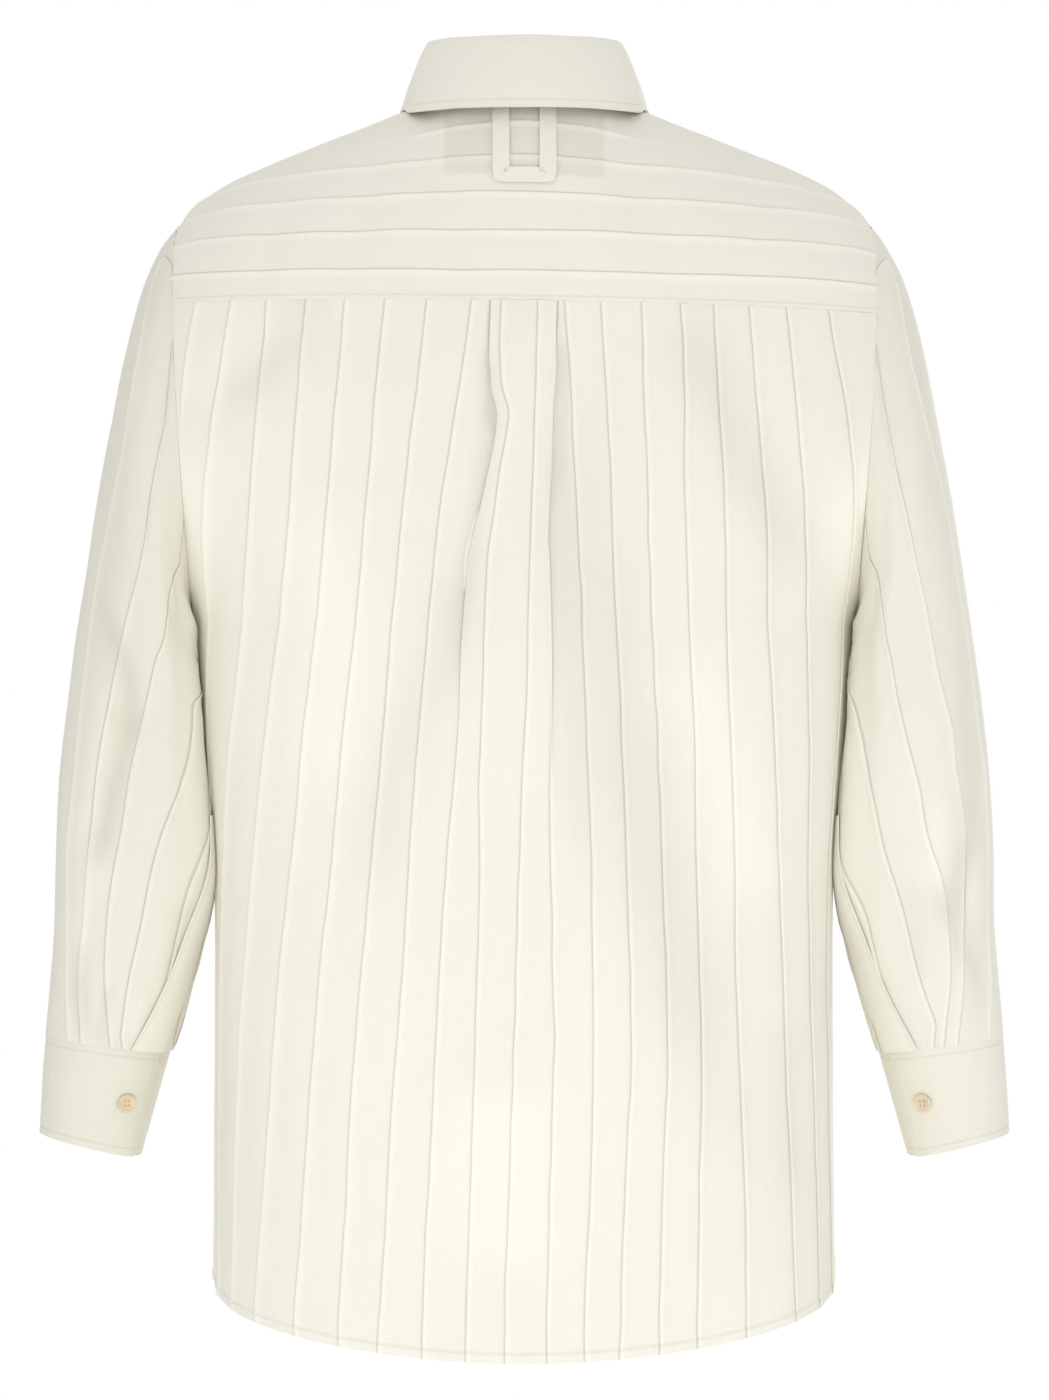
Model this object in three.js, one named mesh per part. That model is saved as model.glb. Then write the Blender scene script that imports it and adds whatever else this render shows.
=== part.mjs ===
import * as THREE from "three";

// An oversized shirt, filled out with nobody in it. Sizes are millimetres.
// +X is the wearer's left, +Y the back and +Z up. The origin is the middle of the neck
// opening, level with the collar seam at the sides.
const WALL = 1.3; // cloth with the turned edges of its tucks
const CUFF_WALL = 2;
const COLLAR_WALL = 1.6;
const TAPE_WALL = 1;
const SEAM = 0.5; // gap where two pieces meet
const LIFT = 0.4; // gap under what lies on a panel
const TUCK = { pitch: 24.6, width: 3.6, height: 1.1, step: 0.5, clear: 7 };
const ROUND = 2.7; // exponent of the body's rounded sections
const SLEEVE_ROUND = 2.35;
const VIEW_DISTANCE = 3000; // what is "seen" in a table is seen from here, straight behind

const NECK = { side: 66, back: 60, front: 68 };
const UNDERARM = -330;
const SHOULDER_TIP = -73;
const ARMHOLE = { back: 77, front: 74 };
const HEM = { back: -783.5, front: -757, side: -738, bend: 1.9 };
const YOKE = { front: 40, frontNeck: 38, firstTuck: 17, tucks: 5, seamBack: -129.5 };
const CHEST = -150; // below it the fronts are horizontal sections
const BAND = { half: 15, thick: 1.4, firstTuck: 29 };
const BUTTON = { radius: 6, thick: 2.6, front: 7, first: -112, pitch: 97 };

// Half-width at the side seam or armhole seam, and depth behind and before the shoulder line.
const BODY = [
  { z: -73, edge: 221, back: 101, front: 76 },
  { z: -110, edge: 221.5, back: 108, front: 86 },
  { z: -180, edge: 218, back: 116, front: 96 },
  { z: -235, edge: 214.5, back: 118, front: 100 },
  { z: -287, edge: 211.5, back: 118, front: 103 },
  { z: -330, edge: 210, back: 117, front: 104 },
  { z: -395, edge: 205.5, back: 115, front: 105 },
  { z: -440, edge: 201, back: 114.5, front: 105 },
  { z: -490, edge: 197, back: 115, front: 106 },
  { z: -570, edge: 196.5, back: 117, front: 107 },
  { z: -650, edge: 197, back: 119.5, front: 108 },
  { z: -800, edge: 198, back: 124, front: 110 },
];

// Height of the shoulder line. Inside the neck it only carries the surface on.
const SHOULDER = [
  { x: 0, back: 36, front: -2 },
  { x: 40, back: 20, front: 0 },
  { x: 62, back: 4.5, front: 2.5 },
  { x: 80, back: -1.3, front: -1.3 },
  { x: 98.6, back: -9, front: -9 },
  { x: 125, back: -19, front: -19 },
  { x: 145, back: -27, front: -27 },
  { x: 164, back: -34.6, front: -34.6 },
  { x: 180.5, back: -42, front: -42 },
  { x: 196, back: -50, front: -50 },
  { x: 207, back: -57.6, front: -57.6 },
  { x: 215, back: -65.3, front: -65.3 },
  { x: 221, back: -73, front: -73 },
];

const YOKE_SEAM = [
  { x: -221, z: -134 },
  { x: 0, z: YOKE.seamBack },
  { x: 221, z: -127.5 },
];

// Tucks of the back, as seen: distance left of the middle at four heights.
const LEVELS = { top: -129.5, mid: -290, low: -561, hem: -770 };
const BACK_TUCKS = [
  { key: -2, top: 209 },
  { key: -1, top: 186, mid: 204 },
  { key: 0, top: 163, mid: 176.6, low: 194 },
  { key: 1, top: 137.8, mid: 151.4, low: 178.7 },
  { key: 2, top: 112.8, mid: 127, low: 155.2, hem: 170.9 },
  { key: 3, top: 87, mid: 102.7, low: 129.3, hem: 144.8 },
  { key: 4, top: 60.2, mid: 78.4, low: 103.3, hem: 117.8 },
  { key: 5, top: 31.6, mid: 55.7, low: 76.8, hem: 90.9 },
  { key: 6, top: 22, mid: 33.5, low: 52.5, hem: 63.6 },
  { key: 7, top: 14.7, mid: 21.8, low: 28.8, hem: 35.8 },
  { key: 8, top: -10.9, mid: -5.8, low: 3.5, hem: 10.2 },
  { key: 9, top: -21.5, mid: -13.4, low: -20.8, hem: -17 },
  { key: 10, top: -28, mid: -38.1, low: -45.8, hem: -40.3 },
  { key: 11, top: -51.2, mid: -59.5, low: -70.2, hem: -63.4 },
  { key: 12, top: -77.2, mid: -82.3, low: -92.8, hem: -88.3 },
  { key: 13, top: -102.1, mid: -106.9, low: -115.2, hem: -113.3 },
  { key: 14, top: -123.4, mid: -131.2, low: -138.2, hem: -144.6 },
  { key: 15, top: -145.9, mid: -157.4, low: -167, hem: -174.5 },
  { key: 16, top: -169.6, mid: -181.8 },
  { key: 17, top: -196.3, mid: -209.9 },
];

// The centre box of the back pleat stands over its sides and runs out lower down.
const BOX = [
  { z: -133, left: 19.2, right: -18.6, height: 2.4 },
  { z: -166, left: 20, right: -18.6, height: 2.2 },
  { z: -205, left: 18, right: -15, height: 1.4 },
  { z: -265, left: 21, right: -9.8, height: 0.5 },
  { z: -330, left: 27, right: -9.9, height: 0 },
  { z: -800, left: 41, right: 5, height: 0 },
];

// The left sleeve's rings, from armhole to cuff: the outer and the inner point of each, and
// how deep it is behind and before the line that joins them.
const SLEEVE = [
  { ring: 0, outX: 221.5, outZ: -73, inX: 210.5, inZ: -330, back: 77, front: 74, mid: 0 },
  { ring: 1, outX: 232, outZ: -88, inX: 213, inZ: -335, back: 80, front: 76, mid: 0 },
  { ring: 2, outX: 243, outZ: -113, inX: 213.8, inZ: -341, back: 83, front: 78, mid: 0 },
  { ring: 3, outX: 253, outZ: -150, inX: 213.4, inZ: -348, back: 86, front: 80, mid: 0 },
  { ring: 4, outX: 262, outZ: -195, inX: 212.6, inZ: -357, back: 88, front: 82, mid: 0 },
  { ring: 5, outX: 270, outZ: -237, inX: 211.4, inZ: -369, back: 87, front: 82, mid: -1 },
  { ring: 6, outX: 276.5, outZ: -275, inX: 210.2, inZ: -384, back: 84, front: 81, mid: -2 },
  { ring: 7, outX: 284, outZ: -322, inX: 208.6, inZ: -403, back: 80, front: 79, mid: -3 },
  { ring: 8, outX: 291, outZ: -370, inX: 206.4, inZ: -426, back: 75, front: 76, mid: -4 },
  { ring: 9, outX: 296.5, outZ: -417, inX: 203.8, inZ: -453, back: 70, front: 72, mid: -6 },
  { ring: 10, outX: 300, outZ: -466, inX: 202, inZ: -483, back: 65, front: 67, mid: -8 },
  { ring: 11, outX: 301, outZ: -517, inX: 204, inZ: -520, back: 60, front: 61, mid: -10 },
  { ring: 12, outX: 304, outZ: -555, inX: 213.5, inZ: -560, back: 53, front: 53, mid: -12 },
  { ring: 13, outX: 307.5, outZ: -590, inX: 226, inZ: -601, back: 42, front: 42, mid: -14 },
];
const CUFF = {
  top: { outX: 307.5, outZ: -590.6, inX: 226, inZ: -601.6, back: 41, front: 41 },
  bottom: { outX: 311.5, outZ: -653, inX: 245, inZ: -669, back: 34, front: 34 },
  mid: -14,
  lapEnd: 146, // degrees round from the outer edge, over the back
  underEnd: -242,
  under: 2.6,
  button: 119,
};
const PLACKET = { start: 8.9, from: 24, width: 26, firstTuck: 12 };

// Soft folds, as seen: a trough (or a ridge, if its depth is below 0) between two points.
const BACK_FOLDS = [
  { x0: 125, z0: -140, x1: 189, z1: -190, wide: 20, depth: 4 },
  { x0: -106, z0: -140, x1: -170, z1: -275, wide: 24, depth: 4.5 },
  { x0: -61, z0: -300, x1: -125, z1: -610, wide: 28, depth: 5 },
];
const SLEEVE_FOLDS = {
  left: [
    { x0: 276, z0: -325, x1: 250, z1: -385, wide: 12, depth: 4 },
    { x0: 250, z0: -385, x1: 270, z1: -455, wide: 12, depth: 5 },
    { x0: 270, z0: -455, x1: 292, z1: -570, wide: 13, depth: 3.5 },
  ],
  right: [
    { x0: -277, z0: -345, x1: -284, z1: -440, wide: 12, depth: 4 },
    { x0: -284, z0: -440, x1: -270, z1: -500, wide: 12, depth: 5 },
    { x0: -270, z0: -500, x1: -290, z1: -575, wide: 12, depth: 4 },
  ],
};

// The collar by degrees round from the middle of the back: where the leaf folds over the
// stand, and where its lower edge is (past the side, by steps forward of the shoulder line).
const COLLAR = [
  { turn: 0, foldX: 0, foldY: 54, foldZ: 38.5, edgeX: 0, edgeY: 79, edgeZ: -5 },
  { turn: 30, foldX: 31, foldY: 47, foldZ: 38.5, edgeX: 40, edgeY: 70, edgeZ: -3.5 },
  { turn: 60, foldX: 53, foldY: 28, foldZ: 39, edgeX: 69, edgeY: 42, edgeZ: 0 },
  { turn: 90, foldX: 60.5, foldY: 0, foldZ: 36, edgeX: 78, forward: 1 },
  { turn: 115, foldX: 55, foldY: -28, foldZ: 22, edgeX: 79, forward: 30 },
  { turn: 140, foldX: 39, foldY: -50, foldZ: -4, edgeX: 72, forward: 66 },
  { turn: 162, foldX: 19, foldY: -61, foldZ: -24, edgeX: 60, forward: 96 },
  { turn: 177, foldX: 4, foldY: -64.5, foldZ: -31, edgeX: 47, forward: 122 },
];
const LOOP = { half: 14.5, width: 10.5, neck: 2, low: 82 };
const LABEL = { half: 50, from: 6, to: 40, behind: 1.4 };

const IVORY = 0xf4f2e4;
const AMBER = 0xd9b98a;

// Small maths.

// A smooth curve through a table's rows: at a row its slope is that between its neighbours.
function curve(rows, from, to) {
  const order = rows.filter((r) => r[to] !== undefined).sort((a, b) => a[from] - b[from]);
  const x = order.map((r) => r[from]);
  const y = order.map((r) => r[to]);
  const last = x.length - 1;
  const slope = x.map((_, i) => {
    const a = Math.max(i - 1, 0);
    const b = Math.min(i + 1, last);
    return (y[b] - y[a]) / (x[b] - x[a]);
  });
  return (at) => {
    if (at <= x[0]) return y[0];
    if (at >= x[last]) return y[last];
    let i = 0;
    while (at > x[i + 1]) i += 1;
    const span = x[i + 1] - x[i];
    const t = (at - x[i]) / span;
    const u = 1 - t;
    const ends = y[i] * (1 + 2 * t) * u * u + y[i + 1] * (3 - 2 * t) * t * t;
    return ends + span * t * u * (slope[i] * u - slope[i + 1] * t);
  };
}

const mix = (a, b, t) => a + (b - a) * t;
const clamp = (v) => Math.min(Math.max(v, 0), 1);
const ease = (v) => clamp(v) ** 2 * (3 - 2 * clamp(v));
const signedPower = (v, p) => Math.sign(v) * Math.abs(v) ** p;
const steps = (count, make) => Array.from({ length: count + 1 }, (_, i) => make(i / count));

// A chain of points that can be walked by its length.
function walk(points) {
  const at = [0];
  for (let i = 1; i < points.length; i += 1) {
    at.push(at[i - 1] + points[i].distanceTo(points[i - 1]));
  }
  const length = at[at.length - 1];
  const point = (s) => {
    let i = 0;
    while (i < at.length - 2 && s > at[i + 1]) i += 1;
    const t = (s - at[i]) / (at[i + 1] - at[i]);
    return points[i].clone().lerp(points[i + 1], t);
  };
  return { points, at, length, point };
}

// The length along a chain at which a measure of its points reaches a value.
function lengthAt(chain, measure, value) {
  const { points, at } = chain;
  for (let i = 1; i < points.length; i += 1) {
    const a = measure(points[i - 1]) - value;
    const b = measure(points[i]) - value;
    if (a * b <= 0) return mix(at[i - 1], at[i], a === b ? 0 : a / (a - b));
  }
  return chain.length;
}

function trough(folds, x, z) {
  let depth = 0;
  for (const f of folds) {
    const dx = f.x1 - f.x0;
    const dz = f.z1 - f.z0;
    const t = clamp(((x - f.x0) * dx + (z - f.z0) * dz) / (dx * dx + dz * dz));
    const away = Math.hypot(x - f.x0 - t * dx, z - f.z0 - t * dz) / f.wide;
    depth += f.depth * Math.exp(-away * away);
  }
  return depth;
}

// The body below the yoke: horizontal sections, walked from the middle to the side.
const edgeAt = curve(BODY, "z", "edge");
const depthAt = { back: curve(BODY, "z", "back"), front: curve(BODY, "z", "front") };
const ridgeAt = { back: curve(SHOULDER, "x", "back"), front: curve(SHOULDER, "x", "front") };
const seamAt = curve(YOKE_SEAM, "x", "z");
const facing = { back: 1, front: -1 };
const REACH = edgeAt(-95); // where the shoulder curves end at the armhole
const NECK_MEETS = THREE.MathUtils.degToRad(120); // round the neck from the back to the front yoke seam
const MEET_X = NECK.side * Math.sin(NECK_MEETS);

function armholeDepth(face, z) {
  const middle = (SHOULDER_TIP + UNDERARM) / 2;
  const half = (SHOULDER_TIP - UNDERARM) / 2;
  const t = (z - middle) / half;
  return Math.abs(t) >= 1 ? 0 : ARMHOLE[face] * Math.sqrt(1 - t * t);
}

function halfWidth(face, z) {
  const cut = (armholeDepth(face, z) / depthAt[face](z)) ** ROUND;
  return edgeAt(z) / (1 - cut) ** (1 / ROUND);
}

function bodyDepth(face, x, z) {
  const across = Math.min(Math.abs(x) / halfWidth(face, z), 1) ** ROUND;
  return facing[face] * depthAt[face](z) * (1 - across) ** (1 / ROUND);
}

const sections = new Map();
function section(face, z) {
  const name = face + z.toFixed(2);
  if (!sections.has(name)) {
    const wide = halfWidth(face, z);
    const last = Math.asin(Math.min(edgeAt(z) / wide, 1) ** (ROUND / 2));
    const bend = 2 / ROUND;
    const points = steps(48, (t) => {
      const x = wide * Math.sin(last * t) ** bend;
      const y = facing[face] * depthAt[face](z) * Math.max(Math.cos(last * t), 0) ** bend;
      return new THREE.Vector3(x, y, z);
    });
    sections.set(name, walk(points));
  }
  return sections.get(name);
}

function bodyPoint(face, s, z) {
  const p = section(face, z).point(Math.abs(s));
  p.x *= Math.sign(s) || 1;
  if (face === "back") {
    const share = p.y / depthAt.back(z);
    p.y -= trough(BACK_FOLDS, p.x, z) * share * ease((YOKE.seamBack - z) / 40);
  }
  return p;
}

// Distance along the section at which a point is seen at x from behind.
function seenAt(x, z) {
  const seen = (p) => (p.x * VIEW_DISTANCE) / (VIEW_DISTANCE - p.y);
  return Math.sign(x) * lengthAt(section("back", z), seen, Math.abs(x));
}

// The shoulders: curves from front to back at one x, each a pair of cubic arcs.
function arc(face, x, low) {
  const ridge = ridgeAt[face](Math.abs(x));
  const y = bodyDepth(face, x, low);
  const slope = (bodyDepth(face, x, low - 4) - y) / 4;
  const drop = ridge - low;
  const turn = new THREE.Vector3(x, y - slope * drop * 0.48, low + drop * 0.48);
  const bezier = new THREE.CubicBezierCurve3(
    new THREE.Vector3(x, 0, ridge),
    new THREE.Vector3(x, y * 0.55, ridge),
    turn,
    new THREE.Vector3(x, y, low),
  );
  return bezier.getPoints(28);
}

const shoulders = new Map();
function shoulder(x) {
  const name = x.toFixed(2);
  if (!shoulders.has(name)) {
    const back = arc("back", x, seamAt(x)).reverse();
    const front = arc("front", x, CHEST);
    if (Math.abs(x) < NECK.side) front[0].z = mix(front[0].z, back[28].z, 0.5);
    const chain = walk([...back, ...front.slice(1)]);
    chain.ridge = chain.at[28];
    shoulders.set(name, chain);
  }
  return shoulders.get(name);
}

const chestChains = new Map();
function chest(x) {
  const name = x.toFixed(2);
  if (!chestChains.has(name)) chestChains.set(name, walk(arc("front", x, CHEST)));
  return chestChains.get(name);
}

// The armhole edge leans a little, so x follows the edge table as a shoulder curve comes down.
function lean(p, x) {
  p.x += (edgeAt(p.z) - REACH) * (x / REACH) ** 5;
  return p;
}

// The outward normal of a surface of two numbers.
function normalOf(surface, a, b, flip = 1) {
  const h = 0.8;
  const along = surface(a + h, b).sub(surface(a - h, b));
  const across = surface(a, b + h).sub(surface(a, b - h));
  return along.cross(across).normalize().multiplyScalar(flip);
}

// Walls: rows of points with rising keys, joined by triangles.

function zip(faces, upper, lower) {
  let i = 0;
  let j = 0;
  while (i < upper.length - 1 || j < lower.length - 1) {
    const lowerDone = j === lower.length - 1;
    const upperFirst = i < upper.length - 1 && (lowerDone || upper[i + 1].key <= lower[j + 1].key);
    if (upperFirst) {
      faces.push(upper[i], lower[j], upper[i + 1]);
      i += 1;
    } else {
      faces.push(upper[i], lower[j], lower[j + 1]);
      j += 1;
    }
  }
}

// A wall from rows that run from top to bottom, each with its points from left to right as
// seen from outside. A column is { key, outer, inner }, and only some have an inner point.
function wall(name, colour, rows, { closed = false, mirror = false } = {}) {
  const outer = rows.map((row) => row.map((c) => ({ key: c.key, at: c.outer })));
  const inner = rows.map((row) => row.filter((c) => c.inner).map((c) => ({ key: c.key, at: c.inner })));
  if (closed) {
    for (const ring of [...outer, ...inner]) ring.push({ key: 1000, same: ring[0] });
  }
  const faces = [];
  for (let r = 0; r < rows.length - 1; r += 1) zip(faces, outer[r], outer[r + 1]);
  const inside = [];
  for (let r = 0; r < rows.length - 1; r += 1) zip(inside, inner[r], inner[r + 1]);
  for (let i = 0; i < inside.length; i += 3) faces.push(inside[i], inside[i + 2], inside[i + 1]);
  const last = rows.length - 1;
  zip(faces, inner[0], outer[0]);
  zip(faces, outer[last], inner[last]);
  if (!closed) {
    const end = (row) => row[row.length - 1];
    for (let r = 0; r < last; r += 1) {
      const left = [inner[r][0], outer[r][0], inner[r + 1][0], outer[r + 1][0]];
      const right = [end(outer[r]), end(inner[r]), end(outer[r + 1]), end(inner[r + 1])];
      for (const [a, b, c, d] of [left, right]) faces.push(a, c, b, b, c, d);
    }
  }
  const ids = new Map();
  const position = [];
  const index = faces.map((point) => {
    const own = point.same ?? point;
    if (!ids.has(own)) {
      ids.set(own, ids.size);
      position.push(own.at.x, own.at.y, own.at.z);
    }
    return ids.get(own);
  });
  if (mirror) {
    for (let i = 0; i < index.length; i += 3) {
      [index[i + 1], index[i + 2]] = [index[i + 2], index[i + 1]];
    }
  }
  const geometry = new THREE.BufferGeometry();
  geometry.setAttribute("position", new THREE.Float32BufferAttribute(position, 3));
  geometry.setIndex(index);
  return piece(name, geometry, colour);
}

function piece(name, geometry, colour) {
  geometry.computeVertexNormals();
  const roughness = colour === AMBER ? 0.35 : 0.85;
  const material = new THREE.MeshStandardMaterial({ color: colour, roughness, metalness: 0 });
  const mesh = new THREE.Mesh(geometry, material);
  mesh.name = name;
  return mesh;
}

// The three columns of a tuck whose fold stands at its left side, as seen from outside.
function tuckColumns(key, middle, height = TUCK.height) {
  const half = TUCK.width / 2;
  return [
    { key: key + 0.1, a: middle - half, lift: 0 },
    { key: key + 0.2, a: middle - half + TUCK.step, lift: height },
    { key: key + 0.3, a: middle + half, lift: 0, inside: true },
  ];
}

// A column's outer point stands off the surface by its lift, the inner one is a wall inside.
function skin(column, surface, b, flip, thick = WALL, out = 0) {
  const base = surface(column.a, b);
  const normal = normalOf(surface, column.a, b, flip);
  const made = { key: column.key, outer: base.clone().addScaledVector(normal, out + column.lift) };
  if (column.inside) made.inner = base.clone().addScaledVector(normal, out - thick);
  return made;
}

// Back panel.

const BODY_ROWS = [-129.5, -158, -190, -225, -258, -286, -308, -322, -330, -345, -385, -440];
const LOWER_ROWS = [-505, -570, -640, -710, -783.5];

function hemAt(face, share) {
  return mix(HEM[face], HEM.side, Math.min(Math.abs(share), 1) ** HEM.bend);
}

// A row's height, drawn to the yoke seam above the underarm and to the hem below it.
function rowHeight(face, base, x, share) {
  if (base >= UNDERARM) {
    const top = face === "back" ? seamAt(x) - SEAM : CHEST;
    const from = face === "back" ? YOKE.seamBack : CHEST;
    return mix(UNDERARM, top, (base - UNDERARM) / (from - UNDERARM));
  }
  const low = face === "back" ? HEM.back : HEM.front;
  return mix(UNDERARM, hemAt(face, share), (base - UNDERARM) / (low - UNDERARM));
}

// Where each tuck is along the section, at the four levels of the table.
function backTucks() {
  const levels = Object.entries(LEVELS);
  const found = new Map();
  for (const [level, z] of levels) {
    const known = BACK_TUCKS.filter((t) => t[level] !== undefined);
    const first = known[0];
    const last = known[known.length - 1];
    for (const tuck of BACK_TUCKS) {
      let s;
      if (tuck[level] !== undefined) s = seenAt(tuck[level], z);
      else if (tuck.key < first.key) s = seenAt(first[level], z) + TUCK.pitch * (first.key - tuck.key);
      else s = seenAt(last[level], z) - TUCK.pitch * (tuck.key - last.key);
      const rows = found.get(tuck.key) ?? [];
      rows.push({ z, s });
      found.set(tuck.key, rows);
    }
  }
  return [...found].map(([key, rows]) => ({ key, s: curve(rows, "z", "s") }));
}

const boxLeft = curve(BOX, "z", "left");
const boxRight = curve(BOX, "z", "right");
const boxHeight = curve(BOX, "z", "height");

function backPanel() {
  const tucks = backTucks();
  const surface = (a, z) => bodyPoint("back", -a, z);
  const rows = [...BODY_ROWS, ...LOWER_ROWS].map((base) => {
    const side = section("back", Math.max(base, HEM.side)).length;
    const height = (a) => rowHeight("back", base, Math.min(Math.abs(a), 221) * -Math.sign(a), a / side);
    const limit = (a) => section("back", height(a)).length - (base > UNDERARM ? 0 : SEAM / 2);
    const left = seenAt(boxLeft(base), base);
    const right = seenAt(boxRight(base), base);
    const columns = [];
    const edge = limit(-side);
    columns.push({ key: -100, a: -edge, lift: 0, inside: true });
    for (const tuck of tucks) {
      const a = -tuck.s(base);
      if (Math.abs(a) > edge - TUCK.clear) continue;
      const hidden = (tuck.key === 6 || tuck.key === 9) && boxHeight(base) > 0.3;
      columns.push(...tuckColumns(tuck.key, a, hidden ? 0.05 : TUCK.height));
    }
    const raised = boxHeight(base);
    columns.push({ key: 6.7, a: -left, lift: 0 });
    columns.push({ key: 6.8, a: -left + 0.8, lift: raised });
    columns.push({ key: 8.7, a: -right - 0.8, lift: raised });
    columns.push({ key: 8.8, a: -right, lift: 0 });
    columns.push({ key: 100, a: limit(side), lift: 0, inside: true });
    columns.sort((p, q) => p.key - q.key);
    for (const c of columns) {
      if (c.key > 7 && c.key < 8.5) c.lift += raised;
    }
    for (let i = 1; i < columns.length; i += 1) {
      columns[i].a = Math.max(columns[i].a, columns[i - 1].a + 0.35);
    }
    return columns.map((c) => skin(c, surface, height(c.a), 1));
  });
  return wall("back_panel", IVORY, rows);
}

// Yoke: columns from its upper edge down to the back seam, across the shoulders.

// Upper edge: round the neck, and from there along the front seam to the armhole.
function yokeTop(share) {
  const meet = 0.36;
  const side = Math.sign(share);
  const p = Math.abs(share);
  if (p <= meet) {
    const turn = (p / meet) * NECK_MEETS;
    const deep = Math.cos(turn) > 0 ? NECK.back : NECK.front;
    const x = side * NECK.side * Math.sin(turn);
    const y = deep * Math.cos(turn);
    return { x, d: lengthAt(shoulder(x), (point) => point.y, y) };
  }
  const x = side * mix(MEET_X, REACH, (p - meet) / (1 - meet));
  const over = mix(YOKE.frontNeck, YOKE.front, (p - meet) / (1 - meet));
  return { x, d: shoulder(x).ridge + over };
}

// A point of the yoke by x and its distance up from the back seam.
const shoulderPoint = (x, d) => lean(shoulder(x).point(d), x);

function yoke() {
  const shares = steps(26, (t) => mix(-1, 1, t));
  const rows = shares.map((share) => {
    const top = yokeTop(share);
    const low = { x: share * REACH, d: SEAM / 2 };
    const atDistance = (d) => {
      const t = clamp((d - low.d) / (top.d - low.d));
      return mix(low.x, top.x, t ** 1.6);
    };
    const columns = [{ key: -100, d: low.d, lift: 0, inside: true }];
    for (let k = 0; k < YOKE.tucks; k += 1) {
      const middle = YOKE.firstTuck + k * (TUCK.pitch + 1.2);
      if (middle > top.d - 6) break;
      for (const c of tuckColumns(k, middle)) columns.push({ ...c, d: c.a });
    }
    const last = columns[columns.length - 1].d;
    for (const [i, t] of [0.25, 0.5, 0.75].entries()) {
      columns.push({ key: 50 + i, d: mix(last, top.d - SEAM / 2, t), lift: 0, inside: true });
    }
    columns.push({ key: 100, d: top.d - SEAM / 2, lift: 0, inside: true });
    return columns.map((c) => skin({ ...c, a: atDistance(c.d) }, shoulderPoint, c.d, -1));
  });
  return wall("back_yoke", IVORY, rows, { mirror: true });
}

// Fronts: down from the neck or the front yoke seam, then horizontal sections.

function frontTop(x) {
  const chain = chest(x);
  if (Math.abs(x) < MEET_X) {
    const y = -NECK.front * Math.sqrt(1 - (x / NECK.side) ** 2);
    return lengthAt(chain, (p) => p.y, y) + SEAM / 2;
  }
  const t = (Math.abs(x) - MEET_X) / (REACH - MEET_X);
  return mix(YOKE.frontNeck, YOKE.front, t) + SEAM;
}

const FRONT_UPPER = 3;
const FRONT_ROWS = [-150, -190, -225, -258, -286, -308, -322, -330, -345, -385, -440];
const FRONT_LOWER = [-510, -580, -650, -757];

// A surface point of the front by distance from the middle at the chest and a row number.
function frontSurface(a, row) {
  if (row < FRONT_UPPER) {
    const x = section("front", CHEST).point(Math.abs(a)).x * Math.sign(a);
    const chain = chest(x);
    const d = mix(frontTop(x), chain.length, row / FRONT_UPPER);
    return lean(chain.point(d), x);
  }
  const all = [...FRONT_ROWS, ...FRONT_LOWER];
  const i = Math.min(Math.floor(row - FRONT_UPPER), all.length - 2);
  const base = mix(all[i], all[i + 1], row - FRONT_UPPER - i);
  const side = section("front", Math.max(base, HEM.side)).length;
  const z = rowHeight("front", base, 0, a / side);
  return bodyPoint("front", a, z);
}

function frontColumns(row, side, inner, margin) {
  const all = [...FRONT_ROWS, ...FRONT_LOWER];
  const base = row < FRONT_UPPER ? CHEST : all[row - FRONT_UPPER];
  const z = rowHeight("front", base, 0, 1);
  const edge = side * (section("front", z).length - margin);
  const ends = side > 0 ? [inner, edge] : [edge, inner];
  const columns = [{ key: -100, a: ends[0], lift: 0, inside: true }];
  const tucks = [];
  for (let k = 0; k < 11; k += 1) {
    const middle = BAND.firstTuck + k * TUCK.pitch;
    if (middle < Math.abs(edge) - TUCK.clear) tucks.push({ key: side * (k + 1), middle: side * middle });
  }
  tucks.sort((p, q) => p.middle - q.middle);
  for (const t of tucks) columns.push(...tuckColumns(t.key, t.middle));
  for (const t of [0.35, 0.7]) {
    columns.push({ key: side * t, a: mix(inner, side * BAND.firstTuck, t), lift: 0, inside: true });
  }
  columns.push({ key: 100, a: ends[1], lift: 0, inside: true });
  return columns.sort((p, q) => p.key - q.key);
}

function frontPanel(name, side, inner) {
  const count = FRONT_UPPER + FRONT_ROWS.length + FRONT_LOWER.length;
  const rows = Array.from({ length: count }, (_, row) => {
    const margin = row < FRONT_UPPER + FRONT_ROWS.indexOf(UNDERARM) ? 0 : SEAM / 2;
    const columns = frontColumns(row, side, inner, margin);
    return columns.map((c) => frontSkin(c, row));
  });
  return wall(name, IVORY, rows);
}

function frontSkin(column, row, thick = WALL, out = 0) {
  const h = 0.05;
  const a = column.a;
  const along = frontSurface(a + 0.8, row).sub(frontSurface(a - 0.8, row));
  const down = frontSurface(a, row + h).sub(frontSurface(a, Math.max(row - h, 0)));
  const normal = down.cross(along).normalize();
  const base = frontSurface(a, row);
  const made = { key: column.key, outer: base.clone().addScaledVector(normal, out + column.lift) };
  if (column.inside) made.inner = base.clone().addScaledVector(normal, out - thick);
  return made;
}

function frontBand() {
  const count = FRONT_UPPER + FRONT_ROWS.length + FRONT_LOWER.length;
  const out = LIFT + BAND.thick;
  const rows = Array.from({ length: count }, (_, row) => {
    const columns = [-1, 0, 1].map((t) => ({ key: t, a: t * BAND.half, lift: 0, inside: true }));
    return columns.map((c) => frontSkin(c, row, BAND.thick, out));
  });
  return wall("front_band", IVORY, rows);
}

// Sleeves.

const ringOf = {};
for (const field of ["outX", "outZ", "inX", "inZ", "back", "front", "mid"]) {
  ringOf[field] = curve(SLEEVE, "ring", field);
}
const LAST_RING = SLEEVE[SLEEVE.length - 1].ring;

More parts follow.
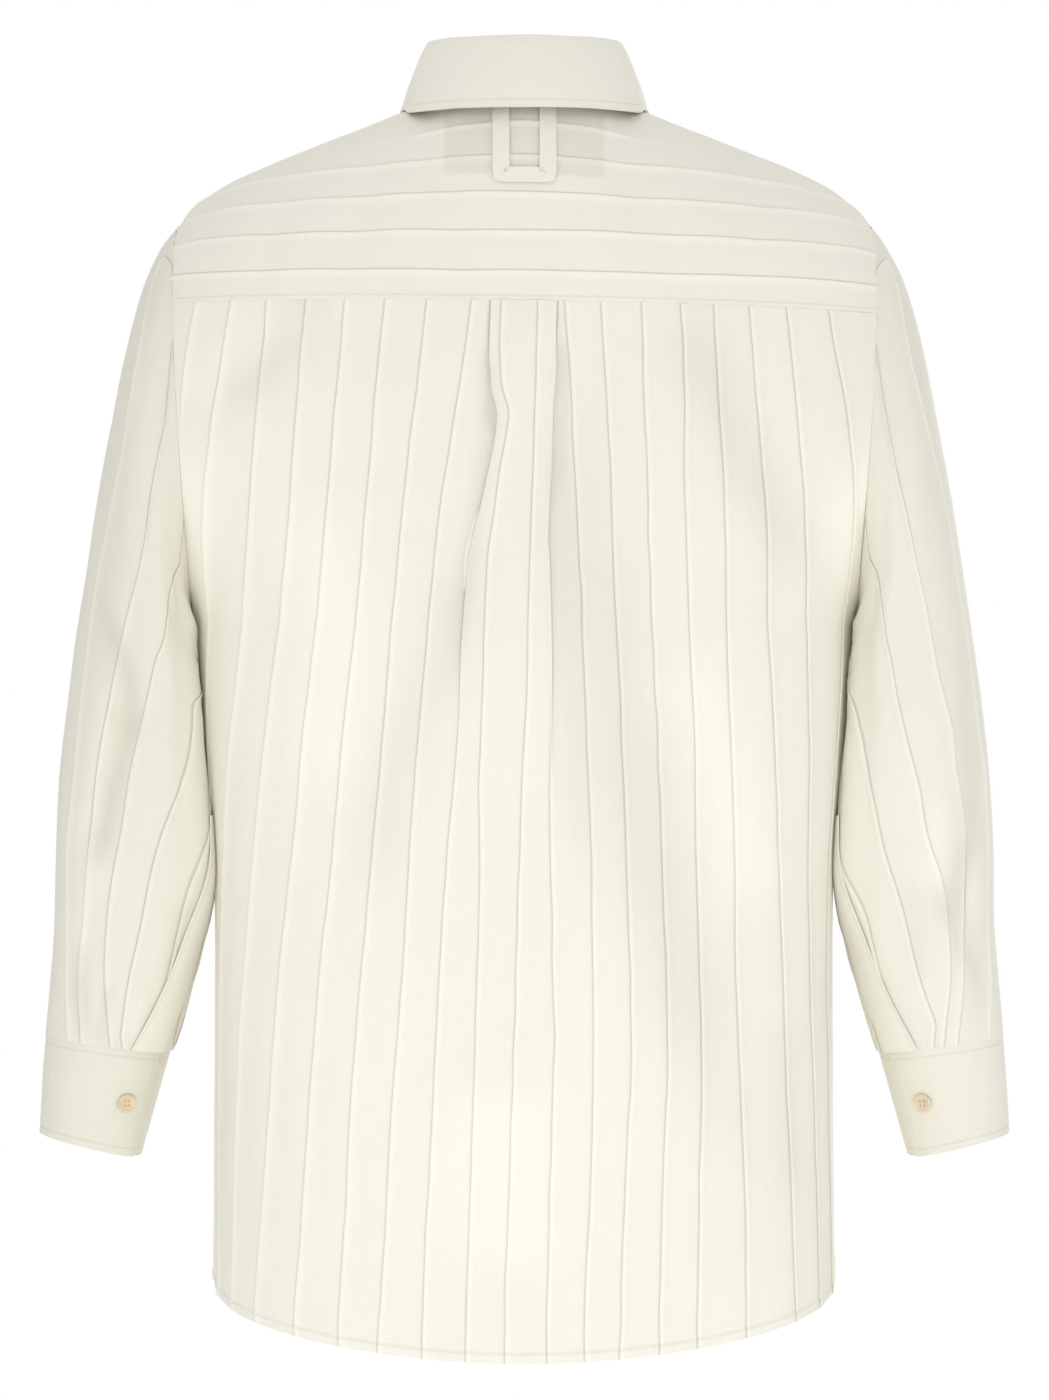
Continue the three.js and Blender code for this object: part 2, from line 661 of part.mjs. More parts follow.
function oval(shape, turn, round = SLEEVE_ROUND) {
  const c = signedPower(Math.cos(turn), 2 / round);
  const s = signedPower(Math.sin(turn), 2 / round);
  const x = mix(shape.inX, shape.outX, (1 + c) / 2);
  const z = mix(shape.inZ, shape.outZ, (1 + c) / 2);
  return new THREE.Vector3(x, shape.mid + s * (s > 0 ? shape.back : shape.front), z);
}

// Half of a ring, walked from the outer line to the seam, over the back or over the front.
const halves = new Map();
function halfRing(face, ring) {
  const name = face + ring.toFixed(3);
  if (!halves.has(name)) {
    const shape = {};
    for (const field of Object.keys(ringOf)) shape[field] = ringOf[field](ring);
    halves.set(name, walk(steps(40, (t) => oval(shape, facing[face] * Math.PI * t))));
  }
  return halves.get(name);
}

// The armhole, walked from the shoulder tip down to the underarm.
const armholes = new Map();
function armhole(face, side) {
  const name = face + side;
  if (!armholes.has(name)) {
    const points = [];
    if (face === "back") {
      const ridge = shoulder(side * REACH).ridge;
      points.push(...steps(14, (t) => shoulderPoint(side * REACH, ridge * (1 - t))));
    } else {
      const chain = chest(REACH);
      points.push(...steps(14, (t) => lean(chain.point(chain.length * t), REACH)));
    }
    const from = points[points.length - 1].z;
    for (let i = 1; i <= 24; i += 1) {
      const z = mix(from, UNDERARM, Math.sin((i / 24) * (Math.PI / 2)));
      points.push(new THREE.Vector3(edgeAt(z), facing[face] * armholeDepth(face, z), z));
    }
    for (const p of points) p.x = Math.abs(p.x);
    armholes.set(name, walk(points));
  }
  return armholes.get(name);
}

// A point of the left sleeve, or of the right one turned over to the left, by its distance
// round from the outer line (over the back if above 0) and its ring.
function sleevePoint(side, s, ring) {
  const face = s >= 0 ? "back" : "front";
  const half = halfRing(face, ring);
  const share = Math.min(Math.abs(s) / half.length, 1);
  const p = half.point(share * half.length);
  const fade = (1 - clamp(ring / 3)) ** 2;
  if (fade > 0) {
    const own = halfRing(face, 0);
    const seam = armhole(face, side);
    p.addScaledVector(seam.point(share * seam.length), fade);
    p.addScaledVector(own.point(share * own.length), -fade);
    p.x += SEAM * fade;
  }
  const folds = side > 0 ? SLEEVE_FOLDS.left : SLEEVE_FOLDS.right;
  const behind = clamp((p.y - ringOf.mid(ring)) / ringOf.back(ring));
  p.y -= trough(folds, side * p.x, p.z) * behind;
  return p;
}

const RINGS = [0, 0.5, 1.1, 2, 3, 4, 5, 6, 7, 8, 9, 10, 11, 12, 13];

function sleeve(name, side) {
  const surface = (s, ring) => sleevePoint(side, s, ring);
  const rows = RINGS.map((ring) => {
    const back = halfRing("back", ring).length;
    const front = halfRing("front", ring).length;
    const columns = [{ key: -100, a: 0, lift: 0, inside: true }];
    for (let k = 0; k < 10; k += 1) {
      const middle = PLACKET.firstTuck + k * TUCK.pitch;
      if (middle < back - TUCK.clear) columns.push(...tuckColumns(k, middle));
    }
    columns.push({ key: 50, a: back, lift: 0, inside: true });
    for (let k = 9; k >= 0; k -= 1) {
      const middle = PLACKET.firstTuck + k * TUCK.pitch;
      if (middle < front - TUCK.clear) columns.push(...tuckColumns(100 - k, back + front - middle));
    }
    return columns.map((c) => sleeveSkin(c, surface, ring, back, front, side));
  });
  return wall(name, IVORY, rows, { closed: true, mirror: side < 0 });
}

// The skin of a sleeve: distances past the seam run back over the front.
function sleeveSkin(column, surface, ring, back, front, side, thick = WALL, out = 0) {
  const around = (s) => (s > back ? s - back - front : s);
  const h = 1.2;
  const span = back + front;
  const wrap = (s) => around(((s % span) + span) % span);
  const along = surface(wrap(column.a + h), ring).sub(surface(wrap(column.a - h), ring));
  const low = Math.min(ring + 0.04, LAST_RING);
  const high = Math.max(ring - 0.04, 0);
  const share = (r) => (column.a <= back ? column.a / back : (column.a - span) / front) * r;
  const at = (r) => {
    const s = share(1);
    const face = s >= 0 ? "back" : "front";
    return surface(s * halfRing(face, r).length, r);
  };
  const down = at(low).sub(at(high));
  const normal = down.cross(along).normalize();
  if (ring === 0) {
    normal.x = 0;
    normal.normalize();
  }
  const base = surface(wrap(column.a), ring);
  const outer = base.clone().addScaledVector(normal, out + column.lift);
  const made = { key: column.key, outer };
  if (column.inside) made.inner = base.clone().addScaledVector(normal, out - thick);
  for (const p of [made.outer, made.inner]) {
    if (p) p.x *= side;
  }
  return made;
}

function sleevePlacket(name, side) {
  const surface = (s, ring) => sleevePoint(side, s, ring);
  const out = TUCK.height + LIFT + TAPE_WALL;
  const rows = steps(8, (t) => {
    const ring = mix(PLACKET.start, LAST_RING, t);
    const back = halfRing("back", ring).length;
    const front = halfRing("front", ring).length;
    const columns = [0, 1, 2, 3, 4].map((i) => {
      const a = back - PLACKET.from - PLACKET.width * (1 - i / 4);
      return { key: i, a, lift: 0, inside: true };
    });
    return columns.map((c) => sleeveSkin(c, surface, ring, back, front, side, TAPE_WALL, out));
  });
  return wall(name, IVORY, rows, { mirror: side < 0 });
}

// Cuffs: a band whose end laps over its start.

function cuffPoint(side, turn, low) {
  const shape = { mid: CUFF.mid };
  for (const field of Object.keys(CUFF.top)) shape[field] = mix(CUFF.top[field], CUFF.bottom[field], low);
  return oval(shape, THREE.MathUtils.degToRad(turn), 2.2);
}

function cuffSkin(side, turn, low, out, thick, key) {
  const h = 1.5;
  const along = cuffPoint(side, turn + h, low).sub(cuffPoint(side, turn - h, low));
  const down = cuffPoint(side, turn, low + 0.02).sub(cuffPoint(side, turn, low - 0.02));
  const normal = down.cross(along).normalize();
  const base = cuffPoint(side, turn, low);
  const outer = base.clone().addScaledVector(normal, out);
  const inner = base.clone().addScaledVector(normal, out - thick);
  for (const p of [outer, inner]) p.x *= side;
  return { key, outer, inner, normal: normal.multiply(new THREE.Vector3(side, 1, 1)) };
}

function cuff(name, side) {
  const rows = steps(3, (low) => {
    const turns = steps(26, (t) => mix(CUFF.underEnd, CUFF.lapEnd, t));
    return turns.map((turn) => {
      const under = -CUFF.under * ease((-150 - turn) / 35);
      return cuffSkin(side, turn, low, under, CUFF_WALL, turn);
    });
  });
  return wall(name, IVORY, rows, { mirror: side < 0 });
}

// Collar: the stand rises inside the neck seam and the leaf hangs over it.

const collarAt = {};
for (const field of ["foldX", "foldY", "foldZ", "edgeX", "edgeY", "edgeZ", "forward"]) {
  collarAt[field] = curve(COLLAR, "turn", field);
}

function neckPoint(turn) {
  const angle = THREE.MathUtils.degToRad(Math.abs(turn));
  const x = (NECK.side - SEAM) * Math.sin(angle);
  const back = angle < Math.PI / 2;
  const y = ((back ? NECK.back : NECK.front) - SEAM) * Math.cos(angle);
  const chain = y > -NECK.front / 2 ? shoulder(x) : chest(x);
  const z = chain.point(lengthAt(chain, (p) => p.y, y)).z;
  return new THREE.Vector3(x * Math.sign(turn), y, z);
}

function foldPoint(turn) {
  const t = Math.abs(turn);
  return new THREE.Vector3(collarAt.foldX(t) * Math.sign(turn), collarAt.foldY(t), collarAt.foldZ(t));
}

// The lower edge of the leaf: behind by its table, in front laid on the chest.
function leafEdge(turn) {
  const t = Math.abs(turn);
  const x = collarAt.edgeX(t);
  if (t < 90) return new THREE.Vector3(x * Math.sign(turn), collarAt.edgeY(t), collarAt.edgeZ(t));
  const chain = chest(x);
  const at = (d) => chain.point(d);
  const d = collarAt.forward(t);
  const along = at(d + 1).sub(at(Math.max(d - 1, 0))).normalize();
  const up = new THREE.Vector3(0, along.z, -along.y);
  if (up.z < 0) up.negate();
  return at(d).addScaledVector(up, 2.6).multiply(new THREE.Vector3(Math.sign(turn), 1, 1));
}

const outwardAt = (turn) => {
  const angle = THREE.MathUtils.degToRad(turn);
  return new THREE.Vector3(Math.sin(angle), Math.cos(angle), 0);
};

function collarStand() {
  const turns = steps(36, (t) => mix(-188, 184, t));
  const rows = [1, 0.5, 0].map((share) =>
    turns.map((full) => {
      const turn = full < -180 ? full + 360 : full > 180 ? full - 360 : full;
      const side = turn || 1e-6;
      const inset = full < -170 ? 2.6 * ease((-170 - full) / 9) : 0;
      const outer = neckPoint(side).lerp(foldPoint(side), share);
      const inside = mix(1.5, 2.4, ease((Math.abs(turn) - 60) / 60));
      outer.addScaledVector(outwardAt(turn), -inside - inset);
      const inner = outer.clone().addScaledVector(outwardAt(turn), -COLLAR_WALL);
      return { key: full, outer, inner };
    }),
  );
  return wall("collar_stand", IVORY, rows, { mirror: true });
}

// The leaf's line in one upright plane: up over the stand, then out and down to its edge.
function leafPoint(turn, share) {
  const fold = foldPoint(turn);
  const out = outwardAt(turn);
  const edge = leafEdge(turn);
  const start = fold.clone().addScaledVector(out, -1.8);
  start.z += 1.4;
  const crest = fold.clone().addScaledVector(out, 0.4);
  crest.z += 2.9;
  const drop = fold.clone().addScaledVector(out, 3.4);
  drop.z -= 1;
  const bow = drop.clone().lerp(edge, 0.5).addScaledVector(out, 1.2);
  const line = new THREE.CatmullRomCurve3([start, crest, drop, bow, edge]);
  return line.getPoint(share);
}

function collarLeaf() {
  const surface = (turn, share) => leafPoint(turn || 1e-6, share);
  const rows = [0, 0.12, 0.25, 0.38, 0.5, 0.75, 1].map((share) =>
    steps(30, (t) => mix(-177, 177, t)).map((turn) => {
      const h = 0.02;
      const low = Math.min(share + h, 1);
      const high = Math.max(share - h, 0);
      const down = surface(turn, low).sub(surface(turn, high));
      const along = surface(turn - 1, share).sub(surface(turn + 1, share));
      const normal = down.cross(along).normalize();
      const outer = surface(turn, share).addScaledVector(normal, COLLAR_WALL / 2);
      const inner = surface(turn, share).addScaledVector(normal, -COLLAR_WALL / 2);
      return { key: -turn, outer, inner };
    }).reverse(),
  );
  return wall("collar_leaf", IVORY, rows);
}

// Tape and label.

// A point laid on the yoke, moved out; its normal is turned to face the back.
function onYoke(x, d, out) {
  const normal = normalOf(shoulderPoint, x, d);
  if (normal.y < 0) normal.negate();
  return shoulderPoint(x, d).addScaledVector(normal, out);
}

// The tape runs down one side, across and up the other, with mitred corners.
function hangerLoop() {
  const out = TUCK.height + LIFT + TAPE_WALL;
  const neck = lengthAt(shoulder(LOOP.half), (p) => p.y, NECK.back) - LOOP.neck;
  const right = steps(5, (t) => {
    return { x: -LOOP.half, d: mix(neck, LOOP.low, t), across: -1, down: t === 1 ? -1 : 0 };
  });
  const middle = [-0.5, 0, 0.5].map((t) => ({ x: t * LOOP.half, d: LOOP.low, across: 0, down: -1 }));
  const left = right.map((p) => ({ ...p, x: LOOP.half, across: 1 })).reverse();
  const half = LOOP.width / 2;
  const rows = [...right, ...middle, ...left].map((p) =>
    [-half, half].map((t, key) => {
      const x = p.x + p.across * t;
      const d = p.d + p.down * t;
      return { key, outer: onYoke(x, d, out), inner: onYoke(x, d, out - TAPE_WALL) };
    }),
  );
  return wall("hanger_loop", IVORY, rows);
}

function neckLabel() {
  const middle = lengthAt(shoulder(0), (p) => p.y, NECK.back);
  const out = -WALL - LABEL.behind;
  const rows = steps(6, (t) => {
    const x = mix(LABEL.half, -LABEL.half, t);
    return [0, 0.5, 1].map((v, key) => {
      const d = middle - mix(LABEL.from, LABEL.to, v);
      return { key, outer: onYoke(x, d, out), inner: onYoke(x, d, out - TAPE_WALL) };
    });
  });
  return wall("neck_label", IVORY, rows, { mirror: true });
}

// Buttons: a dished disc with its flat back on the cloth.

function button(name, at, normal) {
  const r = BUTTON.radius;
  const t = BUTTON.thick;
  const profile = [
    [0, 0],
    [r * 0.8, 0],
    [r, t * 0.4],
    [r * 0.92, t],
    [r * 0.66, t * 0.72],
    [0, t * 0.6],
  ].map(([x, y]) => new THREE.Vector2(x, y));
  const geometry = new THREE.LatheGeometry(profile, 14);
  const mesh = piece(name, geometry, AMBER);
  mesh.quaternion.setFromUnitVectors(new THREE.Vector3(0, 1, 0), normal);
  mesh.position.copy(at);
  return mesh;
}

function frontButtons() {
  const made = [];
  for (let i = 0; i < BUTTON.front; i += 1) {
    const z = BUTTON.first - i * BUTTON.pitch;
    const low = z > CHEST;
    const y = low ? chest(1e-6).point(lengthAt(chest(1e-6), (p) => p.z, z)).y : bodyPoint("front", 0, z).y;
    const tilt = low ? 0.28 : 0;
    const normal = new THREE.Vector3(0, -1, tilt).normalize();
    const at = new THREE.Vector3(0, y, z).addScaledVector(normal, LIFT + BAND.thick + LIFT + 0.3);
    made.push(button(`button_front_${i + 1}`, at, normal));
  }
  return made;
}

function cuffButton(name, side) {
  const spot = cuffSkin(side, CUFF.button, 0.5, LIFT + 0.3, 1, 0);
  return button(name, spot.outer, spot.normal);
}

function standButton() {
  const middle = neckPoint(179.9).lerp(foldPoint(176.9), 0.45);
  const normal = new THREE.Vector3(0, -1, 0.1).normalize();
  const at = new THREE.Vector3(0, middle.y, middle.z).addScaledVector(normal, -1.9);
  return button("button_stand", at, normal);
}

const shirt = new THREE.Group();
shirt.name = "shirt";
shirt.add(
  backPanel(),
  yoke(),
  frontPanel("front_right", -1, -12.5),
  frontPanel("front_left", 1, -11.8),
  frontBand(),
  sleeve("sleeve_left", 1),
  sleeve("sleeve_right", -1),
  sleevePlacket("sleeve_placket_left", 1),
  sleevePlacket("sleeve_placket_right", -1),
  cuff("cuff_left", 1),
  cuff("cuff_right", -1),
  collarStand(),
  collarLeaf(),
  hangerLoop(),
  neckLabel(),
  ...frontButtons(),
  cuffButton("button_cuff_left", 1),
  cuffButton("button_cuff_right", -1),
  standButton(),
);

export default shirt;
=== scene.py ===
import math

import bpy
import numpy as np
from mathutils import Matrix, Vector


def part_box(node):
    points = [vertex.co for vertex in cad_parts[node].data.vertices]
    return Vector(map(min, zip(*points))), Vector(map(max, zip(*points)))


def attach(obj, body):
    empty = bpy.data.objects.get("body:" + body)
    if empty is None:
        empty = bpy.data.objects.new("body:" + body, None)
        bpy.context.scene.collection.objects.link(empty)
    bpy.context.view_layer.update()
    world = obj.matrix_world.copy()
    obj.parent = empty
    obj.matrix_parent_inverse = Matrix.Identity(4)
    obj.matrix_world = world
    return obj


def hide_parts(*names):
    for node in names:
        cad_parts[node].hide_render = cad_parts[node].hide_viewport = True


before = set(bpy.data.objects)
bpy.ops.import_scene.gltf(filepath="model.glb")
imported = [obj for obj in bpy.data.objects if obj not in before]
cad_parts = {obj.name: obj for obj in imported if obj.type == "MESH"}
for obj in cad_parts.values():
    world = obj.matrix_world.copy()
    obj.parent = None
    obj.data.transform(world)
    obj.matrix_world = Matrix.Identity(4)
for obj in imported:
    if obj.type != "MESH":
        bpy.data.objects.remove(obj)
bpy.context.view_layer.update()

bl_info = {
    "name": "Tucked cotton shirt",
    "version": (1, 0, 0),
    "blender": (4, 5, 0),
    "location": "View3D > Sidebar > Shirt",
    "description": "Builds an oversized shirt with pressed tucks over its solid frame",
    "category": "Add Mesh",
}

# Shapes are worked out in millimetres: +X the wearer's left, +Y the back, +Z up.
MM = 0.001
ROUND = 2.7
SLEEVE_ROUND = 2.35
VIEW_DISTANCE = 3000.0
VIEW_HEIGHT = -376.0
NECK_SEAM = 0.5
GAP = 0.04
LIFT = 0.3
UNDERARM = -330.0
SHOULDER_TIP = -73.0
CHEST = -150.0
NECK = {"side": 66.0, "back": 60.0, "front": 68.0}
ARMHOLE = {"back": 77.0, "front": 74.0}
HEM = {"back": -783.5, "front": -757.0, "side": -738.0, "bend": 1.9}
YOKE = {"front": 40.0, "front_neck": 38.0, "first": 17.0, "count": 5, "wider": 1.2, "seam": -129.5}
BAND = {"half": 15.0, "thick": 1.4, "first": 29.0}
FRONT_TUCKS = 11
# A stitch row's distance from its edge
STITCH = {"hem": 5.6, "yoke": 3.0, "band": 4.5, "placket": 1.8, "cuff": 4.5, "stand": 3.0, "leaf": 5.0,
          "label": 1.6}
NO_STITCH = 99.0
FAR = (0.0, NO_STITCH)
# The turned hem: rows above the edge, and how far it stands proud and rolls off
HEM_ROWS = np.array([6.9, 6.6, 6.2, 5.4, 4.4, 2.6, 1.0, 0.4, 0.0])
HEM_TURN = {"proud": 0.6, "top": 7.1, "step": 0.7, "rolled": 0.35, "edge": 0.8}
FACING = {"back": 1.0, "front": -1.0}

# z, half-width at the side or armhole seam, depth behind, depth before
BODY = [
    (-73, 221, 101, 76), (-110, 221.5, 108, 86), (-180, 218, 116, 96), (-235, 214.5, 118, 100),
    (-287, 211.5, 118, 103), (-330, 210, 117, 104), (-395, 205.5, 115, 105), (-440, 201, 114.5, 105),
    (-490, 197, 115, 106), (-570, 196.5, 117, 107), (-650, 197, 119.5, 108), (-800, 198, 124, 110),
]
# x, height of the shoulder line for the back and for the front
SHOULDER = [
    (0, 36, -2), (40, 20, 0), (62, 4.5, 2.5), (80, -1.3, -1.3), (98.6, -9, -9), (125, -19, -19),
    (145, -27, -27), (164, -34.6, -34.6), (180.5, -42, -42), (196, -50, -50),
    (207, -57.6, -57.6), (215, -65.3, -65.3), (221, -73, -73),
]
YOKE_SEAM = [(-221, -134), (0, YOKE["seam"]), (221, -127.5)]

# Tucks of the back as seen: key, then distance left of the middle at four heights
LEVELS = (-129.5, -290.0, -561.0, -770.0)
NO = None
BACK_TUCKS = [
    (-2, 209, NO, NO, NO), (-1, 186, 204, NO, NO), (0, 163, 176.6, 194, NO),
    (1, 137.8, 151.4, 178.7, NO), (2, 112.8, 127, 155.2, 170.9), (3, 87, 102.7, 129.3, 144.8),
    (4, 60.2, 78.4, 103.3, 117.8), (5, 31.6, 55.7, 76.8, 90.9), (6, 19.4, 33.5, 52.5, 63.6),
    (7, 14.7, 21.8, 28.8, 35.8), (8, -10.9, -5.8, 3.5, 10.2), (9, -18.6, -13.4, -20.8, -17),
    (10, -28, -38.1, -45.8, -40.3), (11, -51.2, -59.5, -70.2, -63.4),
    (12, -77.2, -82.3, -92.8, -88.3), (13, -102.1, -106.9, -115.2, -113.3),
    (14, -123.4, -131.2, -138.2, -144.6), (15, -145.9, -157.4, -167, -174.5),
    (16, -169.6, -181.8, NO, NO), (17, -196.3, -209.9, NO, NO),
]
# Bends of three of them at the pleat: height, distance
BENDS = {
    6: [(-157, 20.3), (-182, 18.6), (-202, 14.6), (-256, 25.3)], 7: [(-157, 13.5), (-202, 9.5), (-256, 17)],
    9: [(-166, -18.6), (-205, -15.5), (-265, -11.5)],
}
# The pleat's centre box: z, height over its sides
BOX = [
    (-129.5, 0.8), (-142, 2.4), (-166, 2.8), (-205, 2.6), (-265, 1.7), (-330, 0.9), (-400, 0.3),
    (-460, 0), (-800, 0),
]
PLEAT_EDGES = (6, 9)
# Sleeve rings: outer x z, inner x z, depth behind, depth before, y of the line between
SLEEVE = [
    (0, 221.5, -73, 210.5, -330, 77, 74, 0), (1, 232, -88, 213, -335, 80, 76, 0),
    (2, 243, -113, 213.8, -341, 83, 78, 0), (3, 253, -150, 213.4, -348, 86, 80, 0),
    (4, 262, -195, 212.6, -357, 88, 82, 0), (5, 270, -237, 211.4, -369, 87, 82, -1),
    (6, 276.5, -275, 210.2, -384, 84, 81, -2), (7, 284, -322, 208.6, -403, 80, 79, -3),
    (8, 291, -370, 206.4, -426, 75, 76, -4), (9, 296.5, -417, 203.8, -453, 70, 72, -6),
    (10, 300, -466, 202, -483, 65, 67, -8), (11, 301, -517, 204, -520, 60, 61, -10),
    (12, 304, -555, 213.5, -560, 53, 53, -12), (13, 307.5, -590, 226, -601, 42, 42, -14),
]
LAST_RING = 13.0
CUFF = {
    "top": (307.5, -590.6, 226, -601.6, 41, 41), "bottom": (311.5, -653, 245, -669, 34, 34),
    "mid": -14.0, "lap": 146.0, "under_end": -242.0, "under": 2.6, "button": 119.0, "high": 64.0,
    "thick": 2.0, "round": 2.2,
}
PLACKET = {"start": 8.9, "from": 24.0, "width": 26.0, "thick": 0.7}
# How the lower sleeve is drawn in against the body: its clearance, the most, wholly up to, over
DRAWN = {"clear": 1.3, "most": 26.0, "wholly": 4.0, "over": 22.0}
# Painted shade: even darkening of the sleeves and cuffs, by side, where the light falls off on them
SLEEVE_PAINTED_SHADE = {1: 0.5, -1: 0.25}
CUFF_PAINTED_SHADE = {1: 0.6, -1: 0.3}
# Collar by degrees round from the middle of the back: fold x y z, edge x y z, steps forward
COLLAR = [
    (0, 0, 54, 38.5, 0, 76.6, -5.8, NO), (30, 31, 47, 38.5, 39, 68, -5.4, NO),
    (60, 53, 28, 39.4, 69, 42, -4.8, NO), (90, 61, 0, 38.4, 78, 0, -1, 1),
    (115, 55, -28, 22, 79, NO, NO, 30), (140, 39, -50, -4, 72, NO, NO, 66),
    (162, 19, -61, -24, 60, NO, NO, 96), (177, 4, -64.5, -31, 47, NO, NO, 122),
]
STAND = {"from": -188, "to": 184, "high": 36, "thick": 1.6}
LEAF_THICK = 1.6
LOOP = {"half": 14.5, "width": 10.5, "neck": 2.0, "low": 82.0, "thick": 0.6, "mitre": 0.75}
LABEL = {"half": 50.0, "from": 6.0, "to": 40.0, "behind": 1.4, "thick": 1.0}
# Where the label shows through the yoke: half-width, and from the neck down
SHOWN = {"half": 48.5, "from": 4, "to": 62}

# Buttons: rings of the turned face and of the rim below it, their radii and heights; then holes
BUTTON_RADIUS, BUTTON_THICK = 6.0, 2.6
FACE_RINGS = [0.3, 0.6, 0.95, 1.25, 1.5, 1.7, 1.9, 2.1, 2.3, 2.55, 2.9, 3.3, 3.7, 4.05, 4.35, 4.7,
              5.05, 5.35, 5.6, 5.8, 5.92]
FACE_FORM = [(0, 1.5), (3.3, 1.55), (3.9, 1.75), (4.4, 2.2), (5.0, 2.55), (5.5, 2.6), (6.0, 2.0)]
RIM_RINGS = [(6.0, 1.5), (6.0, 1.0), (5.9, 0.5), (5.4, 0.12), (4.8, 0.0)]
BUTTON_CORNERS = 48
HOLE = {"from_middle": 1.35, "radius": 0.5, "edge": 0.35, "deep": 1.0}
SEWING = {"thick": 0.32, "corners": 8, "half": 1.45, "rise": 1.62, "bow": 0.34, "dip": 0.9, "slant": 0.12}

# Soft folds as seen: points of a line (x, z), width, depth. Below 0 it is a ridge.
BACK_FOLDS = [
    ([(125, -140), (189, -190)], 20, 4), ([(-106, -140), (-170, -275)], 24, 4.5),
    ([(-61, -300), (-125, -610)], 28, 5),
]
BACK_CREASES = [
    ([(120, -118), (150, -150), (196, -200)], 14, 3.2),
    ([(-98, -100), (-118, -170), (-146, -235), (-190, -310)], 20, 3.2),
    ([(-24, -130), (-42, -280), (-60, -380), (-82, -470), (-112, -570), (-160, -700)], 30, 3.6),
    ([(-20, -190), (-24, -290), (-31, -400), (-38, -500)], 9, 2.4),
    ([(24, -250), (52, -340), (86, -420), (98, -520)], 20, 2.8),
    ([(24, -150), (22, -185), (19, -214)], 5, 2.6),
    ([(19, -160), (21, -205), (31, -262), (39, -310), (54, -400)], 6, 2.8),
    ([(-23, -140), (-22, -195), (-18, -265)], 5, 2.6),
    ([(-95, -330), (-130, -430), (-150, -520)], 24, -2.2),
    ([(140, -230), (120, -340), (128, -460)], 26, -2.2),
    ([(-165, -560), (-176, -700)], 18, 2.0), ([(20, -600), (10, -740)], 40, -2.0),
]
FRONT_FOLDS = [
    ([(196, -150), (120, -205), (70, -275)], 18, 3.4), ([(-198, -158), (-128, -225), (-84, -300)], 20, 3.6),
    ([(60, -300), (92, -430), (104, -600)], 26, 4.2), ([(-52, -280), (-76, -420), (-120, -640)], 28, 4.4),
    ([(150, -260), (140, -420), (158, -620)], 22, 3.2), ([(-160, -300), (-148, -470), (-164, -660)], 24, 3.2),
    ([(34, -480), (46, -700)], 16, 2.6), ([(-36, -520), (-30, -720)], 18, -2.2),
]
YOKE_CREASES = [
    ([(-181, -54), (-216, -72)], 6, 1.6), ([(190, -56), (214, -74)], 8, 1.2),
    ([(95, -40), (110, -110)], 14, 1.2), ([(-70, -60), (-100, -120)], 16, 1.2),
    ([(45, -60), (38, -120)], 9, 1.0), ([(150, -60), (165, -115)], 12, 1.2),
    ([(-150, -62), (-140, -118)], 12, 1.2),
]
SLEEVE_FOLDS = {
    1: [([(276, -325), (250, -385)], 12, 4), ([(250, -385), (270, -455)], 12, 5),
        ([(270, -455), (292, -570)], 13, 3.5)],
    -1: [([(-277, -345), (-284, -440)], 12, 4), ([(-284, -440), (-270, -500)], 12, 5),
         ([(-270, -500), (-290, -575)], 12, 4)],
}
SLEEVE_CREASES = {
    1: [([(275, -292), (259, -330), (248, -362), (249, -392), (262, -440), (275, -500)], 6.5, 2.4),
        ([(206, -499), (216, -514), (222, -540), (226, -566)], 5, 1.8),
        ([(262, -552), (272, -598)], 4, 1.8), ([(240, -560), (252, -596)], 5, -1.2),
        ([(285, -540), (279, -596)], 6, 1.6), ([(268, -470), (284, -540)], 9, -1.8)],
    -1: [([(-277, -332), (-276, -388), (-283, -438), (-282, -462), (-271, -496), (-269, -508),
           (-277, -528), (-286, -550), (-294, -578)], 6.5, 2.4),
         ([(-293, -449), (-282, -470), (-276, -502), (-286, -527), (-292, -566), (-297, -588)], 6, 1.6),
         ([(-262, -430), (-258, -500)], 10, -1.6), ([(-240, -480), (-252, -560)], 9, 1.4)],
}
# Tucks of each sleeve as seen, from the outer one inwards (x without its sign, z)
SLEEVE_TUCKS = {
    1: [[(233, -96), (245, -150), (256, -212), (266, -262), (274, -310), (281, -360), (288, -420),
         (293, -480)],
        [(219, -148), (230, -200), (241, -260), (252, -318), (262, -362), (270, -410), (277, -470),
         (283, -540)],
        [(215, -262), (221, -292), (229, -332), (237, -363), (247, -410), (256, -460), (266, -520)],
        [(211, -390), (220, -436), (230, -461), (238, -490), (248, -540), (256, -590)]],
    -1: [[(234, -98.6), (245, -146), (254, -187), (264, -225), (271, -262), (278, -307),
          (283.5, -337), (290, -388), (294, -428)],
         [(220, -151), (229.8, -187), (236.8, -225), (245, -266), (254, -313), (265, -363), (272, -395.5),
          (276, -421), (280, -461)],
         [(216, -260), (221.4, -288), (230.4, -337), (239.4, -383), (249.6, -428), (257, -464),
          (268.8, -509)],
         [(207, -361.6), (213.8, -395.5), (221.4, -436), (230.4, -478.7), (240.6, -514.6),
          (250.9, -555), (262, -587.5)]],
}


# Small maths on whole arrays.

def mix(a, b, t):
    return a + (b - a) * t


def ease(t):
    """Smooth step from 0 to 1."""
    t = np.clip(t, 0, 1)
    return t * t * (3 - 2 * t)


def unit(v):
    return v / np.maximum(np.linalg.norm(v, axis=-1, keepdims=True), 1e-12)


def signed_power(v, p):
    return np.sign(v) * np.abs(v) ** p


def running(line):
    """Distance along a line of points."""
    return np.r_[0, np.cumsum(np.linalg.norm(np.diff(line, axis=0), axis=1))]


def turned(points, side):
    """The points as they are, or turned over to the other side."""
    points = points.copy()
    points[..., 0] *= side
    return points


